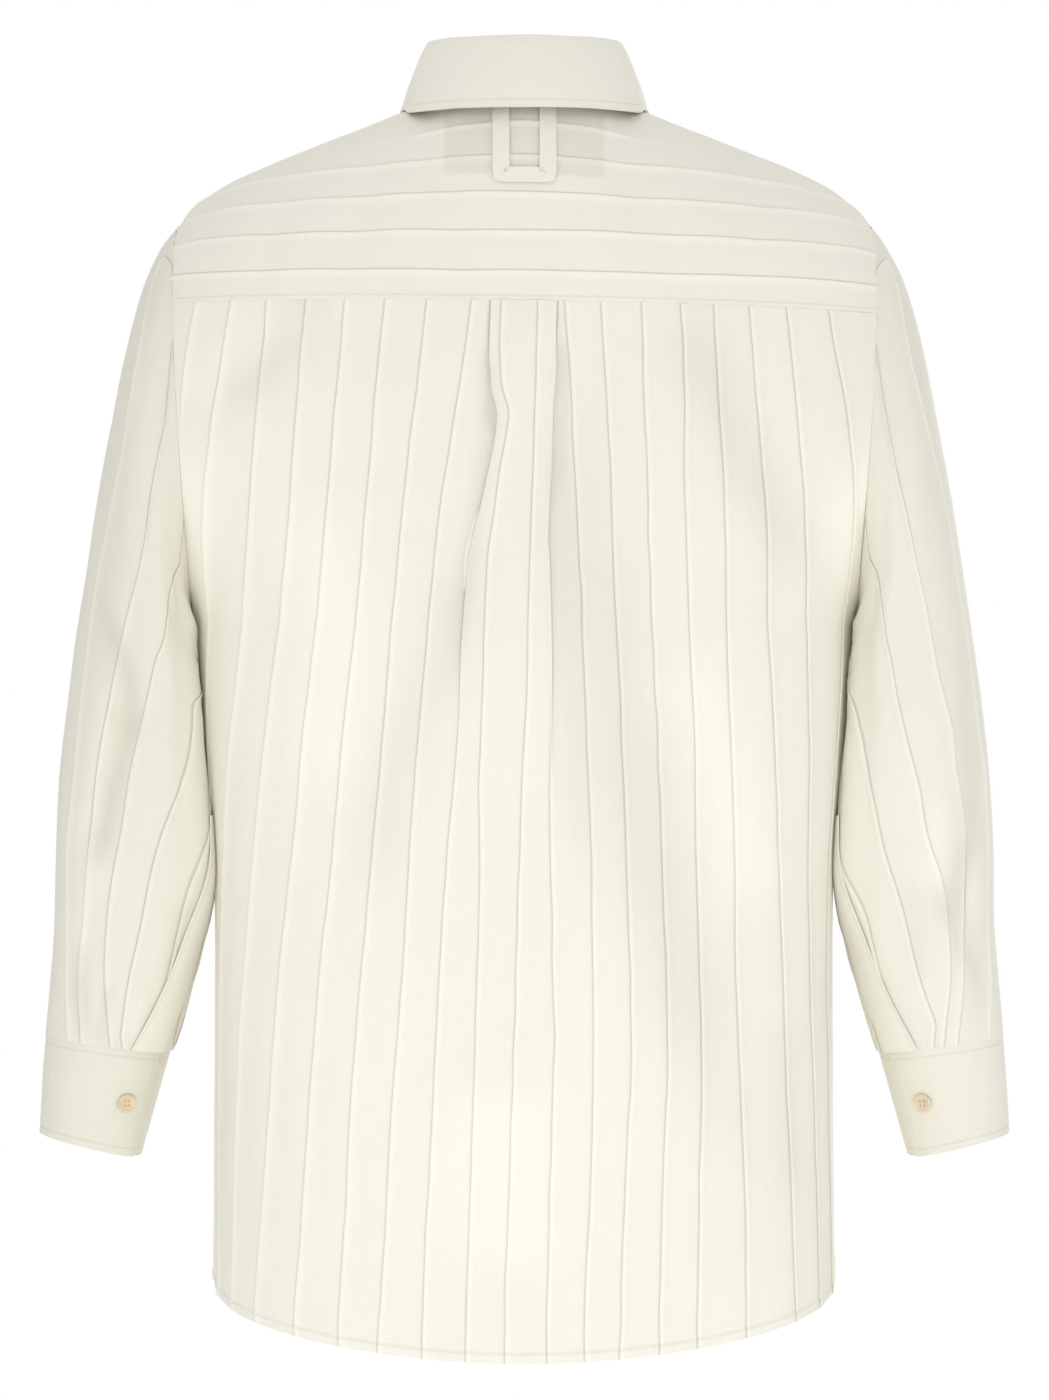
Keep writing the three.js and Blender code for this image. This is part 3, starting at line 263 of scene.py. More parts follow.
def curve(table, to, at=0):
    """A cubic through a table's rows, whose slope at a row is that between its neighbours."""
    rows = sorted((row[at], row[to]) for row in table if row[to] is not None)
    x, y = np.array(rows, float).T
    before = np.maximum(np.arange(len(x)) - 1, 0)
    after = np.minimum(np.arange(len(x)) + 1, len(x) - 1)
    slope = (y[after] - y[before]) / (x[after] - x[before])

    def value(v):
        v = np.clip(np.asarray(v, float), x[0], x[-1])
        i = np.clip(np.searchsorted(x, v, side="right") - 1, 0, len(x) - 2)
        span = x[i + 1] - x[i]
        t = (v - x[i]) / span
        u = 1 - t
        ends = y[i] * (1 + 2 * t) * u * u + y[i + 1] * (3 - 2 * t) * t * t
        return ends + span * t * u * (slope[i] * u - slope[i + 1] * t)

    return value


def noise(u, v, seed):
    """Smooth value noise of two numbers, from -1 to 1: a seeded lattice read with smooth steps."""
    lattice = np.random.default_rng(seed).uniform(-1, 1, (97, 97))
    i, j = np.floor(u).astype(int), np.floor(v).astype(int)
    fu, fv = ease(u - i), ease(v - j)
    a = mix(lattice[i % 97, j % 97], lattice[(i + 1) % 97, j % 97], fu)
    b = mix(lattice[i % 97, (j + 1) % 97], lattice[(i + 1) % 97, (j + 1) % 97], fu)
    return mix(a, b, fv)


def folds(lines, x, z, tapered=False):
    """Sum of soft troughs: depth times exp(-(distance / width)^2) from each line, and if they
    are tapered, running out over the quarter at either end of the line."""
    total = np.zeros(np.broadcast(x, z).shape)
    for points, wide, depth in lines:
        away, along = np.full(total.shape, 1e9), np.zeros(total.shape)
        for i, ((x0, z0), (x1, z1)) in enumerate(zip(points, points[1:])):
            dx, dz = x1 - x0, z1 - z0
            t = np.clip(((x - x0) * dx + (z - z0) * dz) / (dx * dx + dz * dz), 0, 1)
            here = np.hypot(x - x0 - t * dx, z - z0 - t * dz)
            along = np.where(here < away, (i + t) / (len(points) - 1), along)
            away = np.minimum(away, here)
        fade = ease(along * 4) * ease((1 - along) * 4) if tapered else 1
        total += depth * fade * np.exp(-((away / wide) ** 2))
    return total


class Sheaf:
    """Lines side by side, each resampled evenly by length, read by key and share of length."""

    def __init__(self, keys, lines, count=256):
        self.keys = np.asarray(keys, float)
        steps = np.linalg.norm(np.diff(lines, axis=1), axis=2)
        runs = np.concatenate([np.zeros((len(keys), 1)), np.cumsum(steps, axis=1)], axis=1)
        self.lengths = runs[:, -1]
        self.count = count
        share = np.linspace(0, 1, count)
        self.table = np.stack([
            np.stack([np.interp(share * run[-1], run, line[:, i]) for i in range(3)], axis=-1)
            for run, line in zip(runs, lines)
        ])

    def length(self, key):
        return np.interp(key, self.keys, self.lengths)

    def at(self, key, share):
        key, share = np.broadcast_arrays(np.asarray(key, float), share)
        place = (key - self.keys[0]) / (self.keys[-1] - self.keys[0]) * (len(self.keys) - 1)
        place = np.clip(place, 0, len(self.keys) - 1)
        i = np.minimum(place.astype(int), len(self.keys) - 2)
        f = (place - i)[..., None]
        step = np.clip(share, 0, 1) * (self.count - 1)
        j = np.minimum(step.astype(int), self.count - 2)
        g = (step - j)[..., None]
        low = mix(self.table[i, j], self.table[i, j + 1], g)
        high = mix(self.table[i + 1, j], self.table[i + 1, j + 1], g)
        return mix(low, high, f)


# The body's form.

edge_at = curve(BODY, 1)
depth_at = {"back": curve(BODY, 2), "front": curve(BODY, 3)}
ridge_at = {"back": curve(SHOULDER, 1), "front": curve(SHOULDER, 2)}
seam_at = curve(YOKE_SEAM, 1)
REACH = float(edge_at(-95))
NECK_MEETS = math.radians(120)
MEET_X = NECK["side"] * math.sin(NECK_MEETS)


def armhole_depth(face, z):
    middle, half = (SHOULDER_TIP + UNDERARM) / 2, (SHOULDER_TIP - UNDERARM) / 2
    return ARMHOLE[face] * np.sqrt(np.maximum(1 - ((z - middle) / half) ** 2, 0))


def half_width(face, z):
    cut = (armhole_depth(face, z) / depth_at[face](z)) ** ROUND
    return edge_at(z) / (1 - cut) ** (1 / ROUND)


def body_depth(face, x, z):
    across = np.minimum(np.abs(x) / half_width(face, z), 1) ** ROUND
    return FACING[face] * depth_at[face](z) * (1 - across) ** (1 / ROUND)


def section_sheaf(face):
    """Level sections from the middle to the side: x = w sin^(2/n), y = d cos^(2/n)."""
    z = np.linspace(-800, -60, 297)
    wide = half_width(face, z)
    last = np.arcsin(np.minimum(edge_at(z) / wide, 1) ** (ROUND / 2))
    turn = last[:, None] * np.linspace(0, 1, 200)
    x = wide[:, None] * np.sin(turn) ** (2 / ROUND)
    y = FACING[face] * depth_at[face](z)[:, None] * np.maximum(np.cos(turn), 0) ** (2 / ROUND)
    return Sheaf(z, np.stack([x, y, np.broadcast_to(z[:, None], x.shape)], axis=-1))


def arcs(face, x, low):
    """Shoulder curves, one at each x: a cubic Bezier from the ridge down to the body at low."""
    ridge = ridge_at[face](np.abs(x))
    y = body_depth(face, x, low)
    slope = (body_depth(face, x, low - 4) - y) / 4
    drop = ridge - low
    t = np.linspace(0, 1, 120)[None, :]
    weights = ((1 - t) ** 3, 3 * t * (1 - t) ** 2, 3 * t * t * (1 - t), t ** 3)
    ys = (0 * y, y * 0.55, y - slope * drop * 0.48, y)
    zs = (ridge, ridge, low + drop * 0.48, low + 0 * ridge)
    line_y = sum(w * v[:, None] for w, v in zip(weights, ys))
    line_z = sum(w * v[:, None] for w, v in zip(weights, zs))
    return np.stack([np.broadcast_to(x[:, None], line_y.shape), line_y, line_z], axis=-1)


def shoulder_sheaf():
    """Curves over the shoulders from the back seam to the chest, and where their ridge is."""
    x = np.linspace(-REACH, REACH, 443)
    back = arcs("back", x, seam_at(x))[:, ::-1]
    front = arcs("front", x, np.full(x.shape, CHEST))
    gap = (back[:, -1, 2] - front[:, 0, 2]) / 2
    near = np.clip(1 - np.arange(120) / 8, 0, 1) ** 2
    front[:, :, 2] += gap[:, None] * near
    back[:, :, 2] -= gap[:, None] * near[::-1]
    lines = np.concatenate([back, front[:, 1:]], axis=1)
    sheaf = Sheaf(x, lines, 400)
    steps = np.linalg.norm(np.diff(back, axis=1), axis=2).sum(axis=1)
    return sheaf, lambda at: np.interp(at, x, steps)


SECTIONS = {"back": section_sheaf("back"), "front": section_sheaf("front")}
SHOULDERS, ridge_length = shoulder_sheaf()
CHEST_X = np.linspace(0, REACH, 222)
CHESTS = Sheaf(CHEST_X, arcs("front", CHEST_X, np.full(CHEST_X.shape, CHEST)))


def lean(points, x):
    """The armhole edge leans, so x follows the edge table as a shoulder curve comes down."""
    points = points.copy()
    points[..., 0] += (edge_at(points[..., 2]) - REACH) * (x / REACH) ** 5
    return points


def shoulder_point(x, d):
    return lean(SHOULDERS.at(x, d / SHOULDERS.length(x)), x)


def body_point(face, s, z):
    """A point of the body by distance from the middle along its level section."""
    points = SECTIONS[face].at(z, np.abs(s) / SECTIONS[face].length(z))
    points[..., 0] *= np.where(s < 0, -1, 1)
    x, share = points[..., 0], points[..., 1] / depth_at[face](z)
    if face == "back":
        soft = folds(BACK_FOLDS, x, z) * ease((YOKE["seam"] - z) / 40)
        soft += folds(BACK_CREASES, x, z, True) * ease((YOKE["seam"] - z) / 22)
    else:
        soft = folds(FRONT_FOLDS, x, z, True) * ease((np.abs(x) - 16) / 30) * ease((CHEST - z) / 40)
    points[..., 1] -= soft * share
    return points


def seen_at(x, z):
    """Distance along the back's section at which a point is seen at x from behind."""
    share = np.linspace(0, 1, 600)
    line = SECTIONS["back"].at(np.full(600, z), share)
    seen = line[:, 0] * VIEW_DISTANCE / (VIEW_DISTANCE - line[:, 1])
    return math.copysign(np.interp(abs(x), seen, share) * SECTIONS["back"].length(z), x)


def normals(surface, a, b, ha=0.8, hb=0.8):
    """Cross of the surface's two slopes, by central differences."""
    along = surface(a + ha, b) - surface(a - ha, b)
    across = surface(a, b + hb) - surface(a, b - hb)
    return unit(np.cross(along, across))


def reached(sheaf, x, y, count=400):
    """Where the curve at x comes forward to depth y: the share of its length, and the height."""
    share = np.linspace(0, 1, count)
    line = sheaf.at(np.full(count, x), share)
    first = int(np.argmax(line[:, 1]))
    run = -line[first:, 1]
    return np.interp(-y, run, share[first:]), float(np.interp(-y, run, line[first:, 2]))


# Columns that follow the tucks. A tuck's fold hangs over its foot on the side of falling a.

# offset along the surface, lift, painted shade (painted shadow at the fold's foot, painted highlight on its
# crest where below 0); in shares of a tuck's width and height
TUCK_PROFILE = [
    (-0.95, 0.0, 0.0), (-0.86, -0.04, 0.9), (-0.5, -0.08, 1.0), (-0.46, 0.12, 1.0), (-0.56, 0.42, 0.9),
    (-0.59, 0.8, 0.2), (-0.46, 1.0, -0.3), (-0.12, 0.95, -0.3), (0.25, 0.62, -0.1),
    (0.55, 0.22, 0.0), (0.8, 0.0, 0.0),
]
# the same columns where the cloth steps up and stays up: level and painted shade, a painted shadow beside the
# step
STEP_PROFILE = [
    (0.0, 0.5), (0.0, 1.4), (0.0, 2.2), (0.12, 2.2), (0.42, 1.5), (0.8, 0.4), (1.0, -0.3),
    (1.0, -0.1), (1.0, 0.0), (1.0, 0.0), (1.0, 0.0),
]
# The least share of a tuck's width that its columns keep where it has run out
LEAST = 0.03


def in_mm(name):
    """One of the sizes that a user may change, in millimetres."""
    return getattr(bpy.context.scene.shirt_sizes, name) / MM


def tuck_columns(centres, fade, low, high, plain, steps=None):
    """Column places for features in a row: each tuck's profile, with plain columns between.
    steps gives, for a pair of features that bound a raised strip, how far each is a step.
    Returns places, lifts, painted shades and the strip's level as rows x columns, and which columns have an
    inner point: the plain ones and both ends."""
    steps = steps or {}
    full = [np.maximum(f, steps.get(i, 0)) for i, f in enumerate(fade)]
    reach, height = in_mm("tuck_width") * np.maximum(full, LEAST), in_mm("tuck_height")
    half = -TUCK_PROFILE[0][0] * reach + 0.03
    placed = []
    for i, centre in enumerate(centres):
        floor = low + half[i] + 0.05 if i == 0 else placed[-1] + half[i - 1] + half[i] + 0.1
        placed.append(np.maximum(centre, floor))
    for i in range(len(placed) - 1, -1, -1):
        top = high - half[i] - 0.05
        if i < len(placed) - 1:
            top = placed[i + 1] - half[i + 1] - half[i] - 0.1
        placed[i] = np.minimum(placed[i], top)
    columns, keep = [(low, 0 * low, 0 * low, 0 * low)], [0]
    before, level = low, 0.0

    def between(to):
        for t in np.arange(1, plain + 1) / (plain + 1):
            keep.append(len(columns))
            columns.append((mix(before, to, t), 0 * low, 0 * low, level + 0 * low))

    for i, centre in enumerate(placed):
        step, falls = steps.get(i, 0 * low), level > 0
        tuck, rise = TUCK_PROFILE, [(o, *r) for (o, _, _), r in zip(TUCK_PROFILE, STEP_PROFILE)]
        if falls:
            rise = [(-o, *r) for o, *r in rise[::-1]]
        rows = [(mix(o, q, step) * reach[i] + centre, up * height * fade[i],
                 mix(dark * fade[i], deep, step), share if i in steps else level + 0 * step)
                for (o, up, dark), (q, share, deep) in zip(tuck, rise)]
        between(rows[0][0])
        columns += [(at, lift, shade, own + 0 * low) for at, lift, shade, own in rows]
        before = rows[-1][0]
        if i in steps:
            level = 0.0 if falls else 1.0
    between(high)
    keep.append(len(columns))
    columns.append((high, 0 * low, 0 * low, 0 * low))
    return [np.stack(v, axis=1) for v in zip(*columns)], keep


# Meshes.

def orient(outer, outward):
    """True if a grid whose rows go down and columns go right faces against outward."""
    r, c = outer.shape[0] // 2, outer.shape[1] // 3
    down = outer[r + 1, c] - outer[r - 1, c]
    right = outer[r, c + 2] - outer[r, c - 2]
    return float(np.dot(np.cross(down, right), outward[r, c])) < 0


def grid_faces(rows, columns, start, closed):
    last = columns if closed else columns - 1
    r, c = np.meshgrid(np.arange(rows - 1), np.arange(last), indexing="ij")
    n, here, below = (c + 1) % columns, r * columns, (r + 1) * columns
    return (np.stack([here + c, below + c, below + n, here + n], axis=-1).reshape(-1, 4) + start).tolist()


def shell(name, outer, inner, keep, outward, closed=False):
    """Closed wall: the outer grid, a plainer inner grid under its kept columns, and rims."""
    rows, columns = outer.shape[:2]
    kept = inner.shape[1]
    base = rows * columns
    faces = grid_faces(rows, columns, 0, closed)
    faces += [q[::-1] for q in grid_faces(rows, kept, base, closed)]
    spans = list(zip(keep, keep[1:])) + ([(keep[-1], columns)] if closed else [])
    last = (rows - 1) * columns
    for j, (c0, c1) in enumerate(spans):
        n = (j + 1) % kept
        run = [c % columns for c in range(c0, c1 + 1)]
        faces.append(run + [base + n, base + j])
        low = base + (rows - 1) * kept
        faces.append([last + c for c in reversed(run)] + [low + j, low + n])
    if not closed:
        for r in range(rows - 1):
            o, i = r * columns, base + r * kept
            faces.append([o + columns, o, i, i + kept])
            o, i = o + columns - 1, i + kept - 1
            faces.append([o, o + columns, i + kept, i])
    if orient(outer, outward):
        faces = [f[::-1] for f in faces]
    points = np.concatenate([outer.reshape(-1, 3), inner.reshape(-1, 3)]) * MM
    return new_mesh(name, points, faces)


def cloth_shell(name, points, out, lift, keep, side=1, closed=False):
    """A wall that is lifted outside and plain inside, as it is or turned over."""
    outer = turned(points + out * lift[..., None], side)
    inner = turned(points - out * in_mm("wall"), side)[:, keep]
    return shell(name, outer, inner, keep, turned(out, side), closed)


def new_mesh(name, points, faces):
    mesh = bpy.data.meshes.new(name)
    mesh.from_pydata(points.tolist(), [], faces)
    mesh.update()
    mesh.polygons.foreach_set("use_smooth", np.ones(len(mesh.polygons), bool))
    mesh.set_sharp_from_angle(angle=math.radians(62))
    piece = bpy.data.objects.new(name, mesh)
    bpy.context.scene.collection.objects.link(piece)
    return piece


def paint(piece, name, values):
    """A number for every vertex, read by the material."""
    layer = piece.data.attributes.new(name, "FLOAT", "POINT")
    layer.data.foreach_set("value", np.asarray(values, np.float32).ravel())


def paint_uv(piece, name, uv):
    """A UV map from a pair of numbers for every vertex."""
    mesh = piece.data
    layer = mesh.uv_layers.new(name=name)
    index = np.empty(len(mesh.loops), int)
    mesh.loops.foreach_get("vertex_index", index)
    layer.data.foreach_set("uv", np.asarray(uv, np.float32)[index].ravel())


def run_lengths(grid):
    """Distances along the rows and down the columns of a grid of points, in millimetres."""
    across = np.linalg.norm(np.diff(grid, axis=1), axis=2)
    across = np.concatenate([np.zeros((grid.shape[0], 1)), np.cumsum(across, axis=1)], axis=1)
    down = np.linalg.norm(np.diff(grid, axis=0), axis=2)
    down = np.concatenate([np.zeros((1, grid.shape[1])), np.cumsum(down, axis=0)], axis=0)
    return across, down


def finish_cloth(piece, node, base, a, b, shade, stitch, keep, finish="cloth"):
    uv = np.stack([a, b], axis=-1)
    kept = uv[:, keep].reshape(-1, 2)
    paint_uv(piece, "cloth", np.concatenate([uv.reshape(-1, 2), kept]) * MM)
    paint(piece, "crease", np.concatenate([shade.ravel(), np.zeros(len(kept))]))
    marks = np.stack([np.broadcast_to(mark, a.shape) for mark in stitch], axis=-1).reshape(-1, 2)
    paint_uv(piece, "stitch", np.concatenate([marks, np.full(kept.shape, NO_STITCH)]))
    piece.data.materials.append(material(finish))
    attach(piece, "root")
    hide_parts(node)
    d1, d2 = base[1:, 1:] - base[:-1, :-1], base[1:, :-1] - base[:-1, 1:]
    area = float(np.linalg.norm(np.cross(d1, d2), axis=-1).sum()) / 2 * MM * MM
    return piece


def plain_strip(name, node, points, out, thick, a, b, stitch, finish="cloth", tone=0.0):
    """A narrow flat piece: an outer grid, an inner one below it and soft rims."""
    keep = list(range(points.shape[1]))
    piece = shell(name, points, points - out * thick, keep, out)
    bevel = piece.modifiers.new("rim", "BEVEL")
    bevel.width, bevel.segments, bevel.limit_method = 0.2 * MM, 2, "ANGLE"
    bevel.angle_limit = math.radians(50)
    # tone is painted shade, the same over the whole strip (the cuffs' even darkening)
    shade = np.full(points.shape[:2], tone)
    return finish_cloth(piece, node, points, a, b, shade, stitch, keep, finish)


# Materials.

class Value:
    """A shader socket that can be used in Python sums."""

    def __init__(self, maker, socket):
        self.maker, self.socket = maker, socket

    def sum(self, kind, other, swap=False):
        pair = (other, self) if swap else (self, other)
        return self.maker.maths(kind, *pair)

    def __add__(self, other):
        return self.sum("ADD", other)

    def __sub__(self, other):
        return self.sum("SUBTRACT", other)

    def __rsub__(self, other):
        return self.sum("SUBTRACT", other, True)

    def __mul__(self, other):
        return self.sum("MULTIPLY", other)

    def __truediv__(self, other):
        return self.sum("DIVIDE", other)

    __radd__ = __add__


class Finish:
    """A new material with one Principled shader, and the nodes that feed it."""

    def __init__(self, name):
        self.material = bpy.data.materials.new(name)
        self.material.use_nodes = True
        self.tree = self.material.node_tree
        self.shader = self.tree.nodes["Principled BSDF"]

    def node(self, kind, settings=None, output=0, **inputs):
        """Any node: its type, its settings, then values or links for its sockets by name."""
        made = self.tree.nodes.new(kind)
        for name, value in (settings or {}).items():
            setattr(made, name, value)
        for name, value in inputs.items():
            key = int(name[1:]) if name[0] == "i" and name[1:].isdigit() else name.replace("_", " ")
            self.feed(made.inputs[key], value)
        return Value(self, made.outputs[output])

    def feed(self, socket, value):
        if isinstance(value, Value):
            self.tree.links.new(value.socket, socket)
        else:
            socket.default_value = value

    def maths(self, kind, *values, clamp=False):
        settings = {"operation": kind, "use_clamp": clamp}
        return self.node("ShaderNodeMath", settings, **{f"i{i}": v for i, v in enumerate(values)})

    def blend(self, share, first, second):
        settings = {"data_type": "RGBA", "blend_type": "MIX"}
        return self.node("ShaderNodeMix", settings, 2, i0=share, i6=first, i7=second)

    def steps(self, value, low, high):
        """0 below low, 1 above high and smooth between."""
        settings = {"interpolation_type": "SMOOTHSTEP"}
        return self.node("ShaderNodeMapRange", settings, i0=value, i1=low, i2=high, i3=0.0, i4=1.0)

    def mark(self, name):
        return self.node("ShaderNodeAttribute", {"attribute_name": name}, 2)

    def uv(self, name):
        pair = self.node("ShaderNodeUVMap", {"uv_map": name})
        return [self.node("ShaderNodeSeparateXYZ", None, axis, Vector=pair) for axis in (0, 1)]

    def place(self):
        return self.node("ShaderNodeTexCoord", None, 3)

    def joined(self, x, y, z=0.0):
        return self.node("ShaderNodeCombineXYZ", None, 0, X=x, Y=y, Z=z)

    def clouds(self, vector, scale, detail=2.0, roughness=0.5):
        return self.node("ShaderNodeTexNoise", {"noise_dimensions": "3D"}, 0, Vector=vector, Scale=scale,
                         Detail=detail, Roughness=roughness)

    def look(self, tone, colour, deep, roughness, height=None, strength=0.0, distance=0.0001):
        """Colour by tone up to the deep one, roughness, and a bump by height."""
        self.feed(self.shader.inputs["Base Color"], self.blend(tone, colour, deep))
        self.feed(self.shader.inputs["Roughness"], roughness)
        if height is not None:
            bump = self.node("ShaderNodeBump", None, 0, Strength=strength, Distance=distance, Height=height)
            self.feed(self.shader.inputs["Normal"], bump)

    def constants(self, **values):
        for name, value in values.items():
            self.shader.inputs[name.replace("_", " ")].default_value = value


def cloth_finish(name, colour, deep, thread=0.00042, weave=0.35):
    """Fine plain-weave cotton: threads and slubs in the bump, soft clouds of tone, and rows of topstitching
    where the piece has them. Light and shade are painted into the colour by a mark on each piece: painted
    shadows under tuck folds and in soft folds, painted highlights on tuck crests, painted darkening of the
    sleeves and cuffs and painted light at the body's sides."""
    f = Finish(name)
    u, v = f.uv("cloth")
    turn = 2 * math.pi / thread
    threads = f.maths("SINE", u * turn) * f.maths("SINE", v * turn)
    warp = f.clouds(f.joined(u * 1500.0, v * 60.0), 1.0)
    weft = f.clouds(f.joined(u * 60.0, v * 1500.0, 7.0), 1.0)
    cloud = f.clouds(f.place(), 9.0, 3.0)
    speck = f.clouds(f.joined(u * 420.0, v * 420.0, 3.0), 1.0, 3.0, 0.6)
    run, off = f.uv("stitch")
    near = 1.0 - f.steps(f.maths("ABSOLUTE", off), 0.12, 0.32)
    stitch_length = f.maths("FRACT", run / 2.7)
    dash = f.steps(stitch_length, 0.06, 0.16) * (1.0 - f.steps(stitch_length, 0.76, 0.88))
    thread_on = near * dash
    # The tone darkens in the sunken band along each stitch row and in the gaps between its stitches: painted
    # shade in the groove.
    pull = 1.0 - f.steps(f.maths("ABSOLUTE", off), 0.2, 1.3)
    # This mark is painted light and shade: darker under tuck folds, in soft folds and over the sleeves and
    # cuffs, lighter on tuck crests and at the body's sides.
    crease = f.mark("crease")
    tone = (crease * 0.36 + (cloud - 0.5) * 0.14 + (warp - 0.5) * 0.14 + (weft - 0.5) * 0.1
            + pull * 0.1 + (near - thread_on) * 0.15 + f.mark("show") * 0.2)
    tone = f.maths("ADD", tone, 0.2, clamp=True)
    height = threads * weave + (warp + weft) * 0.9 + speck * 0.7 + thread_on * 3.2 - pull * 1.6
    f.look(tone, colour, deep, 0.8 + (speck - 0.5) * 0.16, height, 0.55, 0.00012)
    f.constants(Sheen_Weight=0.12, Sheen_Roughness=0.45, Specular_IOR_Level=0.3)
    return f.material


def button_finish(name, colour, deep):
    """Pale horn-like resin: soft swirls of tone, a few darker flecks and a polished rim."""
    f = Finish(name)
    place = f.place()
    swirl = f.clouds(place, 190.0, 4.0, 0.55)
    fleck = f.clouds(place, 900.0, 2.0)
    tone = f.maths("ADD", (swirl - 0.42) * 1.4, f.steps(fleck, 0.62, 0.8) * 0.25, clamp=True)
    f.look(tone, colour, deep, 0.28 + (fleck - 0.5) * 0.12, swirl, 0.25)
    f.constants(Coat_Weight=0.35, Coat_Roughness=0.15, Specular_IOR_Level=0.5)
    return f.material


def thread_finish(name, colour, deep):
    """Sewing thread: fine strands seen as specks of tone."""
    f = Finish(name)
    strand = f.clouds(f.place(), 2600.0, 1.0)
    f.look(strand, colour, deep, 0.6 + strand * 0.2, strand, 0.4)
    return f.material


# What a user may change.

def distance_of(name, description, default):
    return bpy.props.FloatProperty(
        name=name, description=description, default=default, unit="LENGTH", subtype="DISTANCE")


def colour_of(name, description, *default):
    return bpy.props.FloatVectorProperty(
        name=name, description=description, default=default, size=4, subtype="COLOR", min=0, max=1)


class ShirtSizes(bpy.types.PropertyGroup):
    """Sizes of the shirt's cloth, its tucks and its buttons."""

    wall: distance_of("Cloth", "Thickness of the cloth with its turned edges", 0.0013)
    tuck_width: distance_of("Tuck width", "Width of a pressed tuck", 0.0034)
    tuck_height: distance_of("Tuck height", "How far a tuck's fold stands off the cloth", 0.0009)
    tuck_pitch: distance_of("Tuck pitch", "Distance from tuck to tuck", 0.0246)
    button_radius: distance_of("Button radius", "Radius of each button", 0.006)


class ShirtColours(bpy.types.PropertyGroup):
    """Colours of the cloth, the buttons and the floor."""

    cloth: colour_of("Cloth", "Ivory of the cotton", 0.95, 0.93, 0.835, 1.0)
    # The colour below is painted shade: the cloth is blended towards it under tucks, in folds and over the
    # sleeves and cuffs.
    cloth_painted_shade: colour_of("Painted shade", "The cotton's tone down in creases", 0.6, 0.57, 0.455, 1.0)
    button: colour_of("Button", "Pale tone of the buttons", 0.8, 0.66, 0.47, 1.0)
    button_deep: colour_of("Button swirl", "Deeper tone of the buttons", 0.62, 0.45, 0.28, 1.0)
    floor: colour_of("Floor", "Pale studio floor", 0.92, 0.92, 0.91, 1.0)


def material(name):
    """One of the finishes, made when first asked for. The solids' own materials keep their names."""
    own, c = f"shirt_{name}", bpy.context.scene.shirt_colours
    if own in bpy.data.materials:
        return bpy.data.materials[own]
    if name == "button":
        return button_finish(own, tuple(c.button), tuple(c.button_deep))
    cloth = tuple(c.cloth), tuple(c.cloth_painted_shade)
    if name == "thread":
        return thread_finish(own, *cloth)
    if name == "tape":
        return cloth_finish(own, *cloth, thread=0.0006, weave=0.4)
    return cloth_finish(own, *cloth)


# Back panel.

def hem_at(face, share):
    return mix(HEM[face], HEM["side"], np.minimum(np.abs(share), 1) ** HEM["bend"])


def row_height(face, base, x, share):
    """A row's height, drawn to the yoke seam above the underarm and to the hem below it."""
    top = seam_at(x) - GAP if face == "back" else CHEST
    start = YOKE["seam"] if face == "back" else CHEST
    upper = mix(UNDERARM, top, (base - UNDERARM) / (start - UNDERARM))
    lower = mix(UNDERARM, hem_at(face, share), (base - UNDERARM) / (HEM[face] - UNDERARM))
    return np.where(base >= UNDERARM, upper, lower)


def hem_lift(base, hem):
    """The narrow turned hem: it stands proud, and rolls off at its very edge."""
    turn = HEM_TURN
    up = turn["proud"] * ease((hem + turn["top"] - base) / turn["step"])
    return up - turn["rolled"] * ease((hem + turn["edge"] - base) / turn["edge"])


def panel_rows(top, hem, count_top, count_low):
    return np.concatenate([
        [top, top - 0.6, top - 1.6, top - 3.2], np.linspace(top - 5.5, UNDERARM, count_top),
        np.linspace(UNDERARM, hem + 8, count_low)[1:], [hem + 7.4], hem + HEM_ROWS])


def back_tuck_paths(base):
    """Places of the back's tucks along each row: a cubic through four heights, and beyond the
    last known tuck of a height one pitch after another."""
    pitch = in_mm("tuck_pitch")
    known = [[t for t in BACK_TUCKS if t[1 + i] is not None] for i in range(4)]
    paths = []
    for tuck in BACK_TUCKS:
        rows = []
        for i, z in enumerate(LEVELS):
            first, last = known[i][0], known[i][-1]
            if tuck[1 + i] is not None:
                s = seen_at(tuck[1 + i], z)
            elif tuck[0] < first[0]:
                s = seen_at(first[1 + i], z) + pitch * (first[0] - tuck[0])
            else:
                s = seen_at(last[1 + i], z) - pitch * (tuck[0] - last[0])
            rows.append((z, s))
        rows += [(z, seen_at(x, z)) for z, x in BENDS.get(tuck[0], [])]
        wave = 1.0 * noise(base / 75 + 3.1 * tuck[0] + 50, 0 * base + 7.3 * tuck[0] + 60, 51)
        wave += 0.45 * noise(base / 24 + 5.7 * tuck[0] + 70, 0 * base + 2.9 * tuck[0] + 80, 52)
        paths.append(wave * ease((YOKE["seam"] - base) / 30) - curve(rows, 1)(base))
    return paths


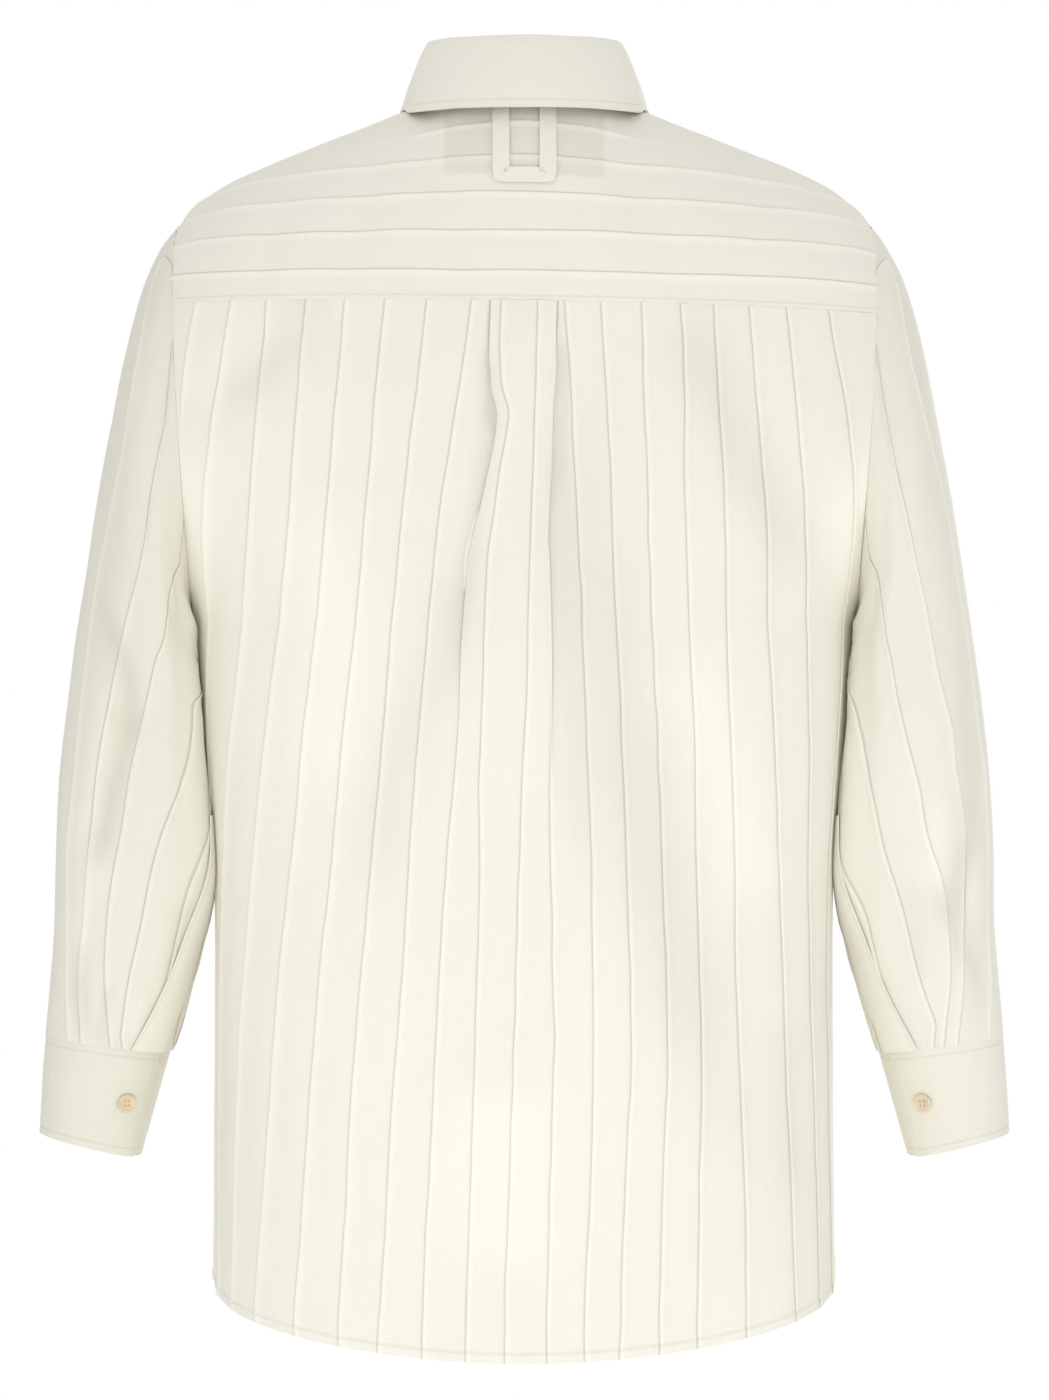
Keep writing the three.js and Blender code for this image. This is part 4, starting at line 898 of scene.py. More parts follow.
def back_panel():
    """Level sections over height, their lift the sum of the tucks, the pleat's box and the hem."""
    base = panel_rows(YOKE["seam"], HEM["back"], 88, 128)
    side = SECTIONS["back"].length(np.maximum(base, HEM["side"]))
    edge = SECTIONS["back"].length(row_height("back", base, 0 * base + 221, 1.0)) - GAP / 2
    paths = back_tuck_paths(base)
    raised = curve(BOX, 1)(base)
    box = ease(raised / 0.8)
    fade = [ease((edge - np.abs(a) - 1.5) / 6) * (1 - box if tuck[0] in PLEAT_EDGES else 1)
            for tuck, a in zip(BACK_TUCKS, paths)]
    steps = {i: box for i, tuck in enumerate(BACK_TUCKS) if tuck[0] in PLEAT_EDGES}
    (a, lift, shade, level), keep = tuck_columns(paths, fade, -edge, edge, 3, steps)
    rows, inward = base[:, None], edge[:, None] - np.abs(a)
    x = np.minimum(np.abs(a), 221) * -np.sign(a)
    z = row_height("back", rows, x, a / side[:, None])
    lift = lift + raised[:, None] * level + hem_lift(rows, HEM["back"])
    lift = lift + 0.35 * noise(a / 9 + 40, z / 46 + 40, 3) * ease(inward / 30)
    # Painted shade in the soft folds of the back.
    shade = shade + 0.15 * folds(BACK_CREASES, x, z, True)
    # Painted light: the cloth is made paler within 45 mm of its sides below the yoke.
    shade = shade - 0.85 * ease((45 - inward) / 45) * ease((YOKE["seam"] - 60 - rows) / 80)
    surface = lambda p, q: body_point("back", -p, q)
    points, out = surface(a, z), normals(surface, a, z)
    piece = cloth_shell("back_panel_cloth", points, out, lift, keep)
    off = rows - HEM["back"] - STITCH["hem"]
    return finish_cloth(piece, "back_panel", points, a, z, shade, (a, off), keep)


# Yoke.

def along_at(x, y):
    """Distance over the shoulder at which the curve at x reaches depth y."""
    return float(reached(SHOULDERS, x, y)[0] * SHOULDERS.length(x))


def yoke_top(share):
    """The yoke's upper edge: round the neck, then along the front seam to the armhole."""
    meet, side, p = 0.36, math.copysign(1, share), abs(share)
    if p <= meet:
        turn = p / meet * NECK_MEETS
        deep = NECK["back"] if math.cos(turn) > 0 else NECK["front"]
        x = side * NECK["side"] * math.sin(turn)
        return x, along_at(x, deep * math.cos(turn))
    t = (p - meet) / (1 - meet)
    x = side * mix(MEET_X, REACH, t)
    return x, float(ridge_length(x)) + mix(YOKE["front_neck"], YOKE["front"], t)


def yoke():
    """Shoulder curves from the back seam up and over, with tucks at set distances and finer
    columns of its own beyond the last of them."""
    shares = np.linspace(-1, 1, 250)
    tops = np.array([yoke_top(s) for s in shares])
    low, high = 0 * shares, tops[:, 1] - GAP
    pitch = in_mm("tuck_pitch") + YOKE["wider"]
    centres = [YOKE["first"] + k * pitch + 0.5 * noise(shares * 6 + 3 * k + 40, low + 5 * k + 40, 53)
               for k in range(YOKE["count"])]
    fade = [ease((high - c - 4) / 5) for c in centres]
    fade[-1] = fade[-1] * (1 - 0.92 * ease((np.abs(shares * REACH) - 52) / 34))
    plain, fine = 5, 24
    (d, lift, shade, _), keep = tuck_columns([-c for c in centres[::-1]], fade[::-1], -high, -low, plain)
    count = d.shape[1] - 1 - plain
    keep = [d.shape[1] - 1 - k for k in keep[::-1]]
    keep = [k for k in keep if k < count] + list(range(count, count + fine))
    d, pad = -d[:, ::-1], np.zeros((len(shares), fine))
    beyond = mix(d[:, count - 1:count], d[:, -1:], np.arange(1, fine + 1) / fine)
    d = np.concatenate([d[:, :count], beyond], axis=1)
    lift, shade = (np.concatenate([v[:, ::-1][:, :count], pad], axis=1) for v in (lift, shade))
    t = np.clip(d / tops[:, 1:2], 0, 1)
    x = mix(shares[:, None] * REACH, tops[:, :1], t ** 1.6)
    lift = lift + 0.25 * (1 - ease((d - 2.0) / 2.5)) - 0.1 * (1 - ease((d - 0.2) / 0.5))
    lift = lift + 0.3 * noise(x / 40 + 20, d / 9 + 20, 5)
    points, out = shoulder_point(x, d), -normals(shoulder_point, x, d)
    behind = ease((points[..., 1] + 5) / 25)
    lift = lift - folds(YOKE_CREASES, points[..., 0], points[..., 2]) * behind
    piece = cloth_shell("back_yoke_cloth", points, out, lift, keep)
    finish_cloth(piece, "back_yoke", points, x, d, shade, (x, d - STITCH["yoke"]), keep)
    middle = along_at(0.001, NECK["back"])
    height = ease((d - (middle - SHOWN["to"])) / 3) * (1 - ease((d - (middle - SHOWN["from"])) / 3))
    show = (1 - ease((np.abs(x) - SHOWN["half"]) / 3)) * height * (points[..., 1] > 20)
    paint(piece, "show", np.concatenate([show.ravel(), np.zeros(show[:, keep].size)]))
    return piece


# Fronts.

FRONT_UPPER = 3.0
FRONT_ROWS = np.array([-150, -190, -225, -258, -286, -308, -322, -330, -345, -385, -440,
                       -510, -580, -650, -757], float)


def front_tops():
    """Where the front starts on each chest curve: at the neck, or at the front yoke seam."""
    tops = []
    for x in CHEST_X:
        if x < MEET_X:
            y = -NECK["front"] * math.sqrt(1 - (x / NECK["side"]) ** 2)
            tops.append(reached(CHESTS, x, y, 256)[0] * CHESTS.length(x) + GAP)
        else:
            tops.append(mix(YOKE["front_neck"], YOKE["front"], (x - MEET_X) / (REACH - MEET_X)) + GAP)
    return tops


FRONT_TOPS = front_tops()


def front_base(row):
    return np.interp(row - FRONT_UPPER, np.arange(len(FRONT_ROWS)), FRONT_ROWS)


def front_surface(a, row):
    """By distance from the middle at the chest, and row: chest curves above, sections below."""
    x = SECTIONS["front"].at(0 * a + CHEST, np.abs(a) / SECTIONS["front"].length(CHEST))[..., 0]
    x = x + (REACH - edge_at(CHEST)) * (x / edge_at(CHEST)) ** 5
    length = CHESTS.length(x)
    d = mix(np.interp(x, CHEST_X, FRONT_TOPS), length, np.clip(row / FRONT_UPPER, 0, 1))
    upper = turned(lean(CHESTS.at(x, d / length), x), np.where(a < 0, -1.0, 1.0))
    base = front_base(row)
    wide = SECTIONS["front"].length(np.maximum(base, HEM["side"]))
    lower = body_point("front", a, row_height("front", base, 0 * a, a / wide))
    return np.where((row < FRONT_UPPER)[..., None], upper, lower)


def front_rows():
    low = HEM["front"] + HEM_ROWS[:-1]
    last = np.interp(-low, -FRONT_ROWS, np.arange(len(FRONT_ROWS))) + FRONT_UPPER
    body = np.linspace(FRONT_UPPER, last[0] - 0.06, 96)
    return np.concatenate([np.linspace(0, FRONT_UPPER, 36)[:-1], body, last, [FRONT_UPPER + 14]])


def front_edge(row):
    base = front_base(row)
    z = row_height("front", base, 0 * base, 1.0)
    return SECTIONS["front"].length(z) - GAP / 2


def front_normals(a, row):
    slope = lambda p, q: front_surface(p, np.maximum(q, 0))
    return -normals(slope, a, row, 0.8, 0.05)


def front_panel(word, side, inner_edge):
    """One front with lengthwise tucks at even distances from its band."""
    rows = front_rows()
    edge, still = front_edge(rows), 0 * rows
    centres = [BAND["first"] + k * in_mm("tuck_pitch") + still for k in range(FRONT_TUCKS)]
    fade = [ease((edge - c - 1.5) / 6) for c in centres]
    low, high = still + inner_edge, edge
    if side < 0:
        low, high = -edge, still + inner_edge
        centres, fade = [-c for c in centres[::-1]], fade[::-1]
    (a, lift, shade, _), keep = tuck_columns(centres, fade, low, high, 2)
    row = np.broadcast_to(rows[:, None], a.shape)
    base = front_base(rows)[:, None]
    lift = lift + hem_lift(base, HEM["front"])
    lift = lift + 0.3 * noise(a / 11 + 30, row * 1.4 + 30, 11) * ease((np.abs(a) - 16) / 8)
    points, out = front_surface(a, row), front_normals(a, row)
    piece = cloth_shell(f"front_{word}_cloth", points, out, lift, keep)
    down = np.cumsum(np.r_[0, np.abs(np.diff(points[:, 0, 2]))])[:, None] + 0 * a
    off = base - HEM["front"] - STITCH["hem"]
    return finish_cloth(piece, f"front_{word}", points, a, down, shade, (a, off), keep)


def front_band():
    """The strip down the front edge, its long edges stitched."""
    rows, half = front_rows(), BAND["half"]
    t = np.concatenate([[-1, -0.985, -0.96], np.linspace(-0.9, 0.9, 15), [0.96, 0.985, 1]])
    row, a = np.meshgrid(rows, t * half, indexing="ij")
    out, base = front_normals(a, row), front_surface(a, row)
    down = running(base[:, 0])[:, None] + 0 * a
    edge = half - STITCH["band"] - np.abs(a)
    swell = 0.12 * noise(a / 8 + 5, down / 22 + 5, 17) - 0.12 * np.exp(-edge ** 2)
    points = base + out * (LIFT + BAND["thick"] + swell)[..., None]
    return plain_strip("front_band_cloth", "front_band", points, out, BAND["thick"], a, down,
                       (down, edge))


# Sleeves.

ring_of = [curve(SLEEVE, i) for i in range(8)]


def oval(shape, mid, turn, power):
    """Superellipse round the line from the outer to the inner point, fuller at the inner side
    where power has a second value."""
    outer_power, inner_power = power if isinstance(power, tuple) else (power, power)
    power = mix(inner_power, outer_power, ease((1.2 + np.cos(turn)) / 1.6))
    c, s = signed_power(np.cos(turn), 2 / power), signed_power(np.sin(turn), 2 / power)
    out_x, out_z, in_x, in_z, back, front = shape
    return np.stack([mix(in_x, out_x, (1 + c) / 2), mid + s * np.where(s > 0, back, front),
                     mix(in_z, out_z, (1 + c) / 2)], axis=-1)


def half_rings(face):
    rings = np.linspace(0, LAST_RING, 261)
    shape = [ring_of[i](rings)[:, None] for i in range(1, 7)]
    turn = FACING[face] * math.pi * np.linspace(0, 1, 240)[None, :]
    full = (SLEEVE_ROUND + 1.5 * (1 - ease((rings - 9) / 4)))[:, None]
    return Sheaf(rings, oval(shape, ring_of[7](rings)[:, None], turn, (SLEEVE_ROUND + 0 * full, full)))


HALVES = {"back": half_rings("back"), "front": half_rings("front")}


def armhole_line(face, side):
    """The armhole from the shoulder tip down to the underarm, by share of length."""
    if face == "back":
        x = np.full(60, side * REACH)
        top = shoulder_point(x, float(ridge_length(side * REACH)) * (1 - np.linspace(0, 1, 60)))
    else:
        x = np.full(60, REACH)
        top = lean(CHESTS.at(x, np.linspace(0, 1, 60)), x)
    z = mix(top[-1, 2], UNDERARM, np.sin(np.arange(1, 81) / 80 * math.pi / 2))
    rest = np.stack([edge_at(z), FACING[face] * armhole_depth(face, z), z], axis=-1)
    line = np.concatenate([top, rest])
    line[:, 0] = np.abs(line[:, 0])
    run = running(line)
    return lambda share: np.stack([np.interp(share * run[-1], run, line[:, i]) for i in range(3)], axis=-1)


ARMHOLES = {(face, side): armhole_line(face, side) for face in ("back", "front") for side in (1, -1)}


def sleeve_point(side, face, share, ring):
    """Of the left sleeve, or of the right one turned over: rings blended into the armhole. Lower
    down the cloth is drawn in against the body's side, the nearer the more."""
    points = HALVES[face].at(ring, share)
    fade = ((1 - np.clip(ring / 3, 0, 1)) ** 2)[..., None]
    own = HALVES[face].at(0 * ring, share)
    points = points + fade * (ARMHOLES[face, side](share) - own)
    points[..., 0] += GAP * fade[..., 0]
    x, y, z = points[..., 0], points[..., 1], points[..., 2]
    deep = np.where(y > 0, depth_at["back"](z), depth_at["front"](z))
    body = edge_at(z) * np.maximum(1 - np.minimum(np.abs(y) / deep, 1) ** ROUND, 0) ** (1 / ROUND)
    away = x - body - DRAWN["clear"]
    close = ease(ring / 1.6) * ease((11.5 - ring) / 1.5) * ease((y + 30) / 25) * ease((-290 - z) / 45)
    near = 1 - ease((away - DRAWN["wholly"]) / DRAWN["over"])
    points[..., 0] -= np.clip(away, 0, DRAWN["most"]) * near * close
    behind = np.clip((points[..., 1] - ring_of[7](ring)) / ring_of[5](ring), 0, 1)
    x, z = side * points[..., 0], points[..., 2]
    points[..., 1] -= (folds(SLEEVE_FOLDS[side], x, z) + folds(SLEEVE_CREASES[side], x, z, True)) * behind
    return points


def sleeve_around(side, a, ring, back, front):
    """A point by distance round from the outer line: over the back, then back over the front."""
    span = back + front
    a = np.mod(a, span)
    behind = sleeve_point(side, "back", np.clip(a / back, 0, 1), ring)
    before = sleeve_point(side, "front", np.clip((span - a) / front, 0, 1), ring)
    return np.where((a <= back)[..., None], behind, before)


def sleeve_normals(side, a, ring, back, front):
    """Along the ring at one ring, and down the sleeve at one share of the half ring."""
    along = sleeve_around(side, a + 1.2, ring, back, front) - sleeve_around(side, a - 1.2, ring, back, front)
    low, high = np.minimum(ring + 0.04, LAST_RING), np.maximum(ring - 0.04, 0)
    span = back + front
    behind = np.clip(a / back, 0, 1)
    before = np.clip((span - a) / front, 0, 1)
    down = np.where(
        (a <= back)[..., None],
        sleeve_point(side, "back", behind, low) - sleeve_point(side, "back", behind, high),
        sleeve_point(side, "front", before, low) - sleeve_point(side, "front", before, high))
    out = np.cross(down, along)
    out[..., 0] *= ease(ring / 0.3)
    return unit(out)


def sleeve_paths(side):
    """Tucks of a sleeve as distance from the outer line by ring. Each seen point is found on the
    sleeve as the one of its back that is seen nearest to it."""
    ring, share = np.meshgrid(np.linspace(0, LAST_RING, 131), np.linspace(0.02, 0.99, 120), indexing="ij")
    points = sleeve_point(side, "back", share, ring)
    near = VIEW_DISTANCE / (VIEW_DISTANCE - points[..., 1])
    seen_x = points[..., 0] * near
    seen_z = VIEW_HEIGHT + (points[..., 2] - VIEW_HEIGHT) * near
    paths = []
    for line in SLEEVE_TUCKS[side]:
        rows = []
        for x, z in line:
            best = np.argmin(np.hypot(seen_x - x, seen_z - z))
            r = ring.flat[best]
            rows.append((float(r), float(share.flat[best] * HALVES["back"].length(r))))
        rows = sorted(dict(rows).items())
        (r0, s0), (r1, s1) = rows[0], rows[-1]
        if r0 > 0.2:
            rows = [(r0 - 3.0, s0 + 120.0), (r0 - 1.0, s0 + 26.0)] + rows
        if r1 < LAST_RING - 0.2:
            rows.append((LAST_RING, s1 * 0.92))
        paths.append(curve(rows, 1))
    return paths


def sleeve(word, side):
    """A tube of rings with lengthwise tucks that run out into its inner seam."""
    rings = np.concatenate([
        np.linspace(0, 0.6, 8)[:-1], np.linspace(0.6, 12.7, 165), np.linspace(12.7, LAST_RING, 8)[1:]])
    back, front = HALVES["back"].length(rings), HALVES["front"].length(rings)
    span = back + front
    tucks = [path(rings) for path in sleeve_paths(side)]
    tucks += [tucks[-1] + k * in_mm("tuck_pitch") for k in range(1, 6)]
    fade = [ease((back - s - 2) / 6) for s in tucks] + [0 * back]
    fade += [ease((front - s - 2) / 6) for s in tucks[::-1]]
    count = len(tucks)
    centres = [np.minimum(s, back - 0.3 * (count + 1 - i)) for i, s in enumerate(tucks)] + [back]
    centres += [np.maximum(span - s, back + 0.3 * (i + 1)) for i, s in enumerate(tucks[::-1])]
    (a, lift, shade, _), keep = tuck_columns(centres, fade, 0 * back, span - 0.02, 6)
    ring = np.broadcast_to(rings[:, None], a.shape)
    b, f = back[:, None], front[:, None]
    points, out = sleeve_around(side, a, ring, b, f), sleeve_normals(side, a, ring, b, f)
    swell = noise(a / 12 + 9, ring * 1.1 + 9, 21 + side) * ease(ring / 0.8)
    lift = lift + 0.4 * swell * ease(a / 14) * ease((b + f - a) / 14)
    # Painted shade: the sleeve is darkened evenly, more on one side, and further in the creases of its back.
    creases = folds(SLEEVE_CREASES[side], side * points[..., 0], points[..., 2], True)
    shade = shade + SLEEVE_PAINTED_SHADE[side] + 0.22 * ease(points[..., 1] / 20) * creases
    piece = cloth_shell(f"sleeve_{word}_cloth", points, out, lift, keep, side, closed=True)
    down = running(points[:, 0])[:, None] + 0 * a
    return finish_cloth(piece, f"sleeve_{word}", points, a, down, shade, FAR, keep)


def sleeve_placket(word, side):
    """The strip beside the sleeve's slit, laid over the tucks and stitched round."""
    rings, u = mix(PLACKET["start"], LAST_RING, np.linspace(0, 1, 64)), np.linspace(0, 1, 21)
    back, front = HALVES["back"].length(rings)[:, None], HALVES["front"].length(rings)[:, None]
    a = back - PLACKET["from"] - PLACKET["width"] * (1 - u)
    ring = np.broadcast_to(rings[:, None], a.shape)
    out = sleeve_normals(side, a, ring, back, front)
    rise = in_mm("tuck_height") + LIFT + PLACKET["thick"]
    points = turned(sleeve_around(side, a, ring, back, front) + out * rise, side)
    across, down = u * PLACKET["width"] + 0 * a, running(points[:, 10])[:, None] + 0 * a
    edge = np.minimum(np.minimum(across, PLACKET["width"] - across), down) - STITCH["placket"]
    return plain_strip(f"sleeve_placket_{word}_cloth", f"sleeve_placket_{word}", points, turned(out, side),
                       PLACKET["thick"], across, down, (down, edge))


# Cuffs.

def cuff_point(turn, low):
    shape = [mix(t, b, low) for t, b in zip(CUFF["top"], CUFF["bottom"])]
    return oval(shape, CUFF["mid"], np.radians(turn), CUFF["round"])


def cuff_normals(turn, low):
    """Out from the wrist: turned round where they face the cuff's other side."""
    out = -normals(cuff_point, turn, low, 1.5, 0.02)
    across = cuff_point(turn, low) - cuff_point(turn + 180.0, low)
    return out * np.where(np.sum(out * across, axis=-1, keepdims=True) < 0, -1, 1)


def cuff(word, side):
    """A lapped band round the wrist, thicker than the sleeve and stitched along its edges."""
    turns = np.linspace(CUFF["under_end"], CUFF["lap"], 190)
    lows = np.concatenate([[-0.012, 0.0, 0.02], np.linspace(0.07, 0.93, 22), [0.97, 0.99, 1]])
    turn, low = np.meshgrid(turns, lows)
    out = cuff_normals(turn, low)
    under, down = -CUFF["under"] * ease((-150 - turn) / 35), CUFF["high"] * low
    to_edge = np.minimum(down, CUFF["high"] - down)
    swell = 0.25 * np.sin(math.pi * low) + 0.18 * noise(turn / 7 + 60, low * 3 + 2, 31 + side)
    groove = -0.18 * np.exp(-((to_edge - STITCH["cuff"]) / 0.9) ** 2)
    points = turned(cuff_point(turn, low) + out * (under + (swell + groove) * (turn > -150))[..., None], side)
    run = running(points[12])[None, :] + 0 * turn
    edge = np.minimum(to_edge, (CUFF["lap"] - turn) * 1.05) - STITCH["cuff"]
    # The cuff is evenly darkened by painted shade, one side more than the other.
    return plain_strip(f"cuff_{word}_cloth", f"cuff_{word}", points, turned(out, side), CUFF["thick"],
                       run, down, (run, edge), tone=CUFF_PAINTED_SHADE[side])


# Collar.

def both_ways(column, odd=False):
    """A collar measure by turn, carried past the middle of the back so that it has no kink."""
    rows = [(row[0], row[column]) for row in COLLAR]
    sign = -1 if odd else 1
    return curve([(-t, None if v is None else sign * v) for t, v in rows[1:]] + rows, 1)


fold_of = [both_ways(1, True), both_ways(2), both_ways(3)]
leaf_of = [both_ways(4, True), both_ways(5), both_ways(6), curve(COLLAR, 7)]


def outward(turn):
    angle = np.radians(turn)
    return np.stack([np.sin(angle), np.cos(angle), 0 * angle], axis=-1)


def neck_line():
    """The neck seam by degrees round from the back, read off the shoulder or the chest."""
    turns = np.linspace(0, 180, 181)
    points = []
    for turn in np.radians(turns):
        x = (NECK["side"] - NECK_SEAM) * math.sin(turn)
        deep = NECK["back"] if turn < math.pi / 2 else NECK["front"]
        y = (deep - NECK_SEAM) * math.cos(turn)
        sheaf = SHOULDERS if y > -NECK["front"] / 2 else CHESTS
        points.append((x, y, reached(sheaf, x, y)[1]))
    return turns, np.array(points)


NECK_TURNS, NECK_POINTS = neck_line()


def neck_point(turn):
    p = np.stack([np.interp(np.abs(turn), NECK_TURNS, NECK_POINTS[:, i]) for i in range(3)], axis=-1)
    return turned(p, np.sign(turn))


def fold_point(turn):
    return turned(np.stack([f(np.abs(turn)) for f in fold_of], axis=-1), np.sign(turn))


def leaf_rest():
    """Height of the yoke below the leaf's edge, by degrees round from the back."""
    turns = np.linspace(0, 90, 46)
    return turns, [reached(SHOULDERS, float(leaf_of[0](t)), float(leaf_of[1](t)))[1] for t in turns]


LEAF_TURNS, LEAF_REST = leaf_rest()


def leaf_edge(turn):
    """The leaf's lower edge: by its table behind, laid on the chest in front."""
    t = np.abs(turn)
    x = leaf_of[0](t)
    z = np.maximum(leaf_of[2](t), np.interp(t, LEAF_TURNS, LEAF_REST) + 1.4)
    behind = np.stack([x, leaf_of[1](t), z], axis=-1)
    length = CHESTS.length(x)
    d = leaf_of[3](t)
    at = lambda v: CHESTS.at(x, v / length)
    along = unit(at(d + 1) - at(np.maximum(d - 1, 0)))
    up = np.stack([0 * x, along[..., 2], -along[..., 1]], axis=-1)
    up *= np.where(up[..., 2:] < 0, -1, 1)
    before = at(d) + up * 2.6
    return turned(np.where((t < 90)[..., None], behind, before), np.where(turn < 0, -1, 1))


def through(points, share):
    """A centripetal Catmull-Rom curve through a list of point arrays, read at a share of it."""
    points = [2 * points[0] - points[1]] + list(points) + [2 * points[-1] - points[-2]]
    count = len(points) - 3
    place = np.clip(share, 0, 1) * count
    total = np.zeros(np.broadcast_shapes(points[0].shape, share.shape + (3,)))
    for i in range(count):
        p0, p1, p2, p3 = points[i:i + 4]
        d0, d1, d2 = (np.sqrt(np.linalg.norm(q - p, axis=-1, keepdims=True))
                      for p, q in ((p0, p1), (p1, p2), (p2, p3)))
        m1 = ((p1 - p0) / d0 - (p2 - p0) / (d0 + d1) + (p2 - p1) / d1) * d1
        m2 = ((p2 - p1) / d1 - (p3 - p1) / (d1 + d2) + (p3 - p2) / d2) * d1
        t = np.clip(place - i, 0, 1)[..., None]
        part = (p1 + m1 * t + (-3 * p1 + 3 * p2 - 2 * m1 - m2) * t ** 2
                + (2 * p1 - 2 * p2 + m1 + m2) * t ** 3)
        mine = (place >= i) & ((place < i + 1) | (i == count - 1))
        total = np.where(mine[..., None], part, total)
    return total


def leaf_point(turn, share):
    """Up over the stand, then out and down to the leaf's edge, in one upright plane."""
    fold, out, edge = fold_point(turn), outward(turn), leaf_edge(turn)
    up = np.array([0, 0, 1.0])
    start = fold - out * 1.8 + up * 1.4
    crest = fold + out * 0.4 + up * 2.9
    drop = fold + out * 3.4 - up
    bow = mix(drop, edge, 0.5) + out * 1.2
    return through([start, crest, drop, bow, edge], share)


def collar_stand():
    """The band that rises inside the neck seam, its ends lapped under the leaf in front."""
    full = np.linspace(STAND["from"], STAND["to"], 220)
    turn = np.where(full < -180, full + 360, np.where(full > 180, full - 360, full))
    turn = np.where(turn == 0, 1e-6, turn)
    turn, up = np.meshgrid(turn, np.linspace(1, 0, 26))
    inset = np.where(full < -170, 2.6 * ease((-170 - full) / 9), 0)
    inside = mix(1.5, 2.4, ease((np.abs(turn) - 60) / 60)) + inset
    points = mix(neck_point(turn), fold_point(turn), up[..., None]) - outward(turn) * inside[..., None]
    run = running(points[13])[None, :] + 0 * turn
    high = up * STAND["high"]
    return plain_strip("collar_stand_cloth", "collar_stand", points, outward(turn), STAND["thick"], run,
                       high, (run, high - STITCH["stand"]))


def collar_leaf():
    """The turned-down leaf, with a shallow groove along its stitch row."""
    turns = np.linspace(177, -177, 260)
    shares = np.concatenate([np.linspace(0, 0.5, 26)[:-1], np.linspace(0.5, 0.97, 30), [0.985, 0.993, 1.0]])
    turn, share = np.meshgrid(np.where(turns == 0, 1e-6, turns), shares)
    low, high = np.minimum(share + 0.02, 1), np.maximum(share - 0.02, 0)
    down = leaf_point(turn, low) - leaf_point(turn, high)
    along = leaf_point(turn - 1, share) - leaf_point(turn + 1, share)
    out = unit(np.cross(down, along))
    middle = leaf_point(turn, share)
    across, run_down = run_lengths(middle)
    ends = np.minimum(across, across[:, -1:] - across)
    edge = np.minimum(run_down[-1] - run_down, ends) - STITCH["leaf"]
    swell = 0.15 * noise(across / 14 + 3, run_down / 9 + 3, 41) - 0.16 * np.exp(-((edge / 0.9) ** 2))
    points = middle + out * (LEAF_THICK / 2 + swell)[..., None]
    return plain_strip("collar_leaf_cloth", "collar_leaf", points, out, LEAF_THICK, across, run_down,
                       (across, edge))


# Tape and label.

def on_yoke(x, d, out):
    """Points over the yoke, or under it, and the way out there."""
    normal = normals(shoulder_point, x, d)
    normal *= np.where(normal[..., 1:2] < 0, -1, 1)
    return shoulder_point(x, d) + normal * out, normal


def hanger_loop():
    """A flat tape: down one side, across and up the other, with mitred corners."""
    top, corner, half = along_at(LOOP["half"], NECK["back"]) - LOOP["neck"], LOOP["low"], LOOP["half"]
    leg, cross = np.linspace(0, 1, 26), np.linspace(-1, 1, 13)[1:-1]
    u = np.linspace(-1, 1, 9) * LOOP["width"] / 2
    centre_x = np.concatenate([np.full(26, -half), cross * half, np.full(26, half)])[:, None]
    centre_d = np.concatenate([mix(top, corner, leg), np.full(11, corner), mix(corner, top, leg)])[:, None]
    out_x = np.concatenate([np.full(26, -1.0), np.zeros(11), np.full(26, 1.0)])[:, None]
    out_d = np.concatenate([np.zeros(25), np.full(13, -1.0), np.zeros(25)])[:, None]
    x, d = centre_x + out_x * u, centre_d + out_d * u
    cut = np.maximum(np.abs(x) - half + corner - d - LOOP["width"] * LOOP["mitre"], 0) / 2
    x, d = x - np.sign(x) * cut, d + cut
    points, normal = on_yoke(x, d, in_mm("tuck_height") + LIFT + LOOP["thick"])
    run = running(points[:, 4])[:, None] + 0 * x
    return plain_strip("hanger_loop_tape", "hanger_loop", points, normal, LOOP["thick"], u + 0 * x, run,
                       FAR, "tape")


def neck_label():
    """A plain folded label inside the yoke, blank, stitched round its edge."""
    half, high = LABEL["half"], LABEL["to"] - LABEL["from"]
    x, down = np.meshgrid(mix(half, -half, np.linspace(0, 1, 44)), high * np.linspace(0, 1, 17), indexing="ij")
    d = along_at(0.001, NECK["back"]) - LABEL["from"] - down
    points, normal = on_yoke(x, d, -in_mm("wall") - LABEL["behind"])
    edge = np.minimum(half - np.abs(x), np.minimum(down, high - down)) - STITCH["label"]
    return plain_strip("neck_label_cloth", "neck_label", points, normal, LABEL["thick"], x, d,
                       (x + d, edge), "tape")


# Buttons.

def placed(local, at, side, other, up):
    """Points of a button's own frame in the shirt's."""
    return at + local[..., :1] * side + local[..., 1:2] * other + local[..., 2:] * up


def button_disc():
    """A dished disc with a raised rim and four holes, in its own frame: rings of points."""
    face = np.array(FACE_RINGS)
    rings = np.r_[face, [r for r, _ in RIM_RINGS]] * in_mm("button_radius") / BUTTON_RADIUS
    count = len(face)
    height = np.r_[np.interp(rings[:count], *zip(*FACE_FORM)), [h for _, h in RIM_RINGS]]
    turn = np.arange(BUTTON_CORNERS) / BUTTON_CORNERS * 2 * math.pi
    r, t = np.meshgrid(rings, turn, indexing="ij")
    x, y, z = r * np.cos(t), r * np.sin(t), height[:, None] + 0 * r
    for hole_x in (HOLE["from_middle"], -HOLE["from_middle"]):
        for hole_y in (HOLE["from_middle"], -HOLE["from_middle"]):
            away = np.hypot(x - hole_x, y - hole_y)[:count]
            z[:count] -= HOLE["deep"] * (1 - ease((away - HOLE["radius"]) / HOLE["edge"]))
    return np.stack([x, y, z], axis=-1)


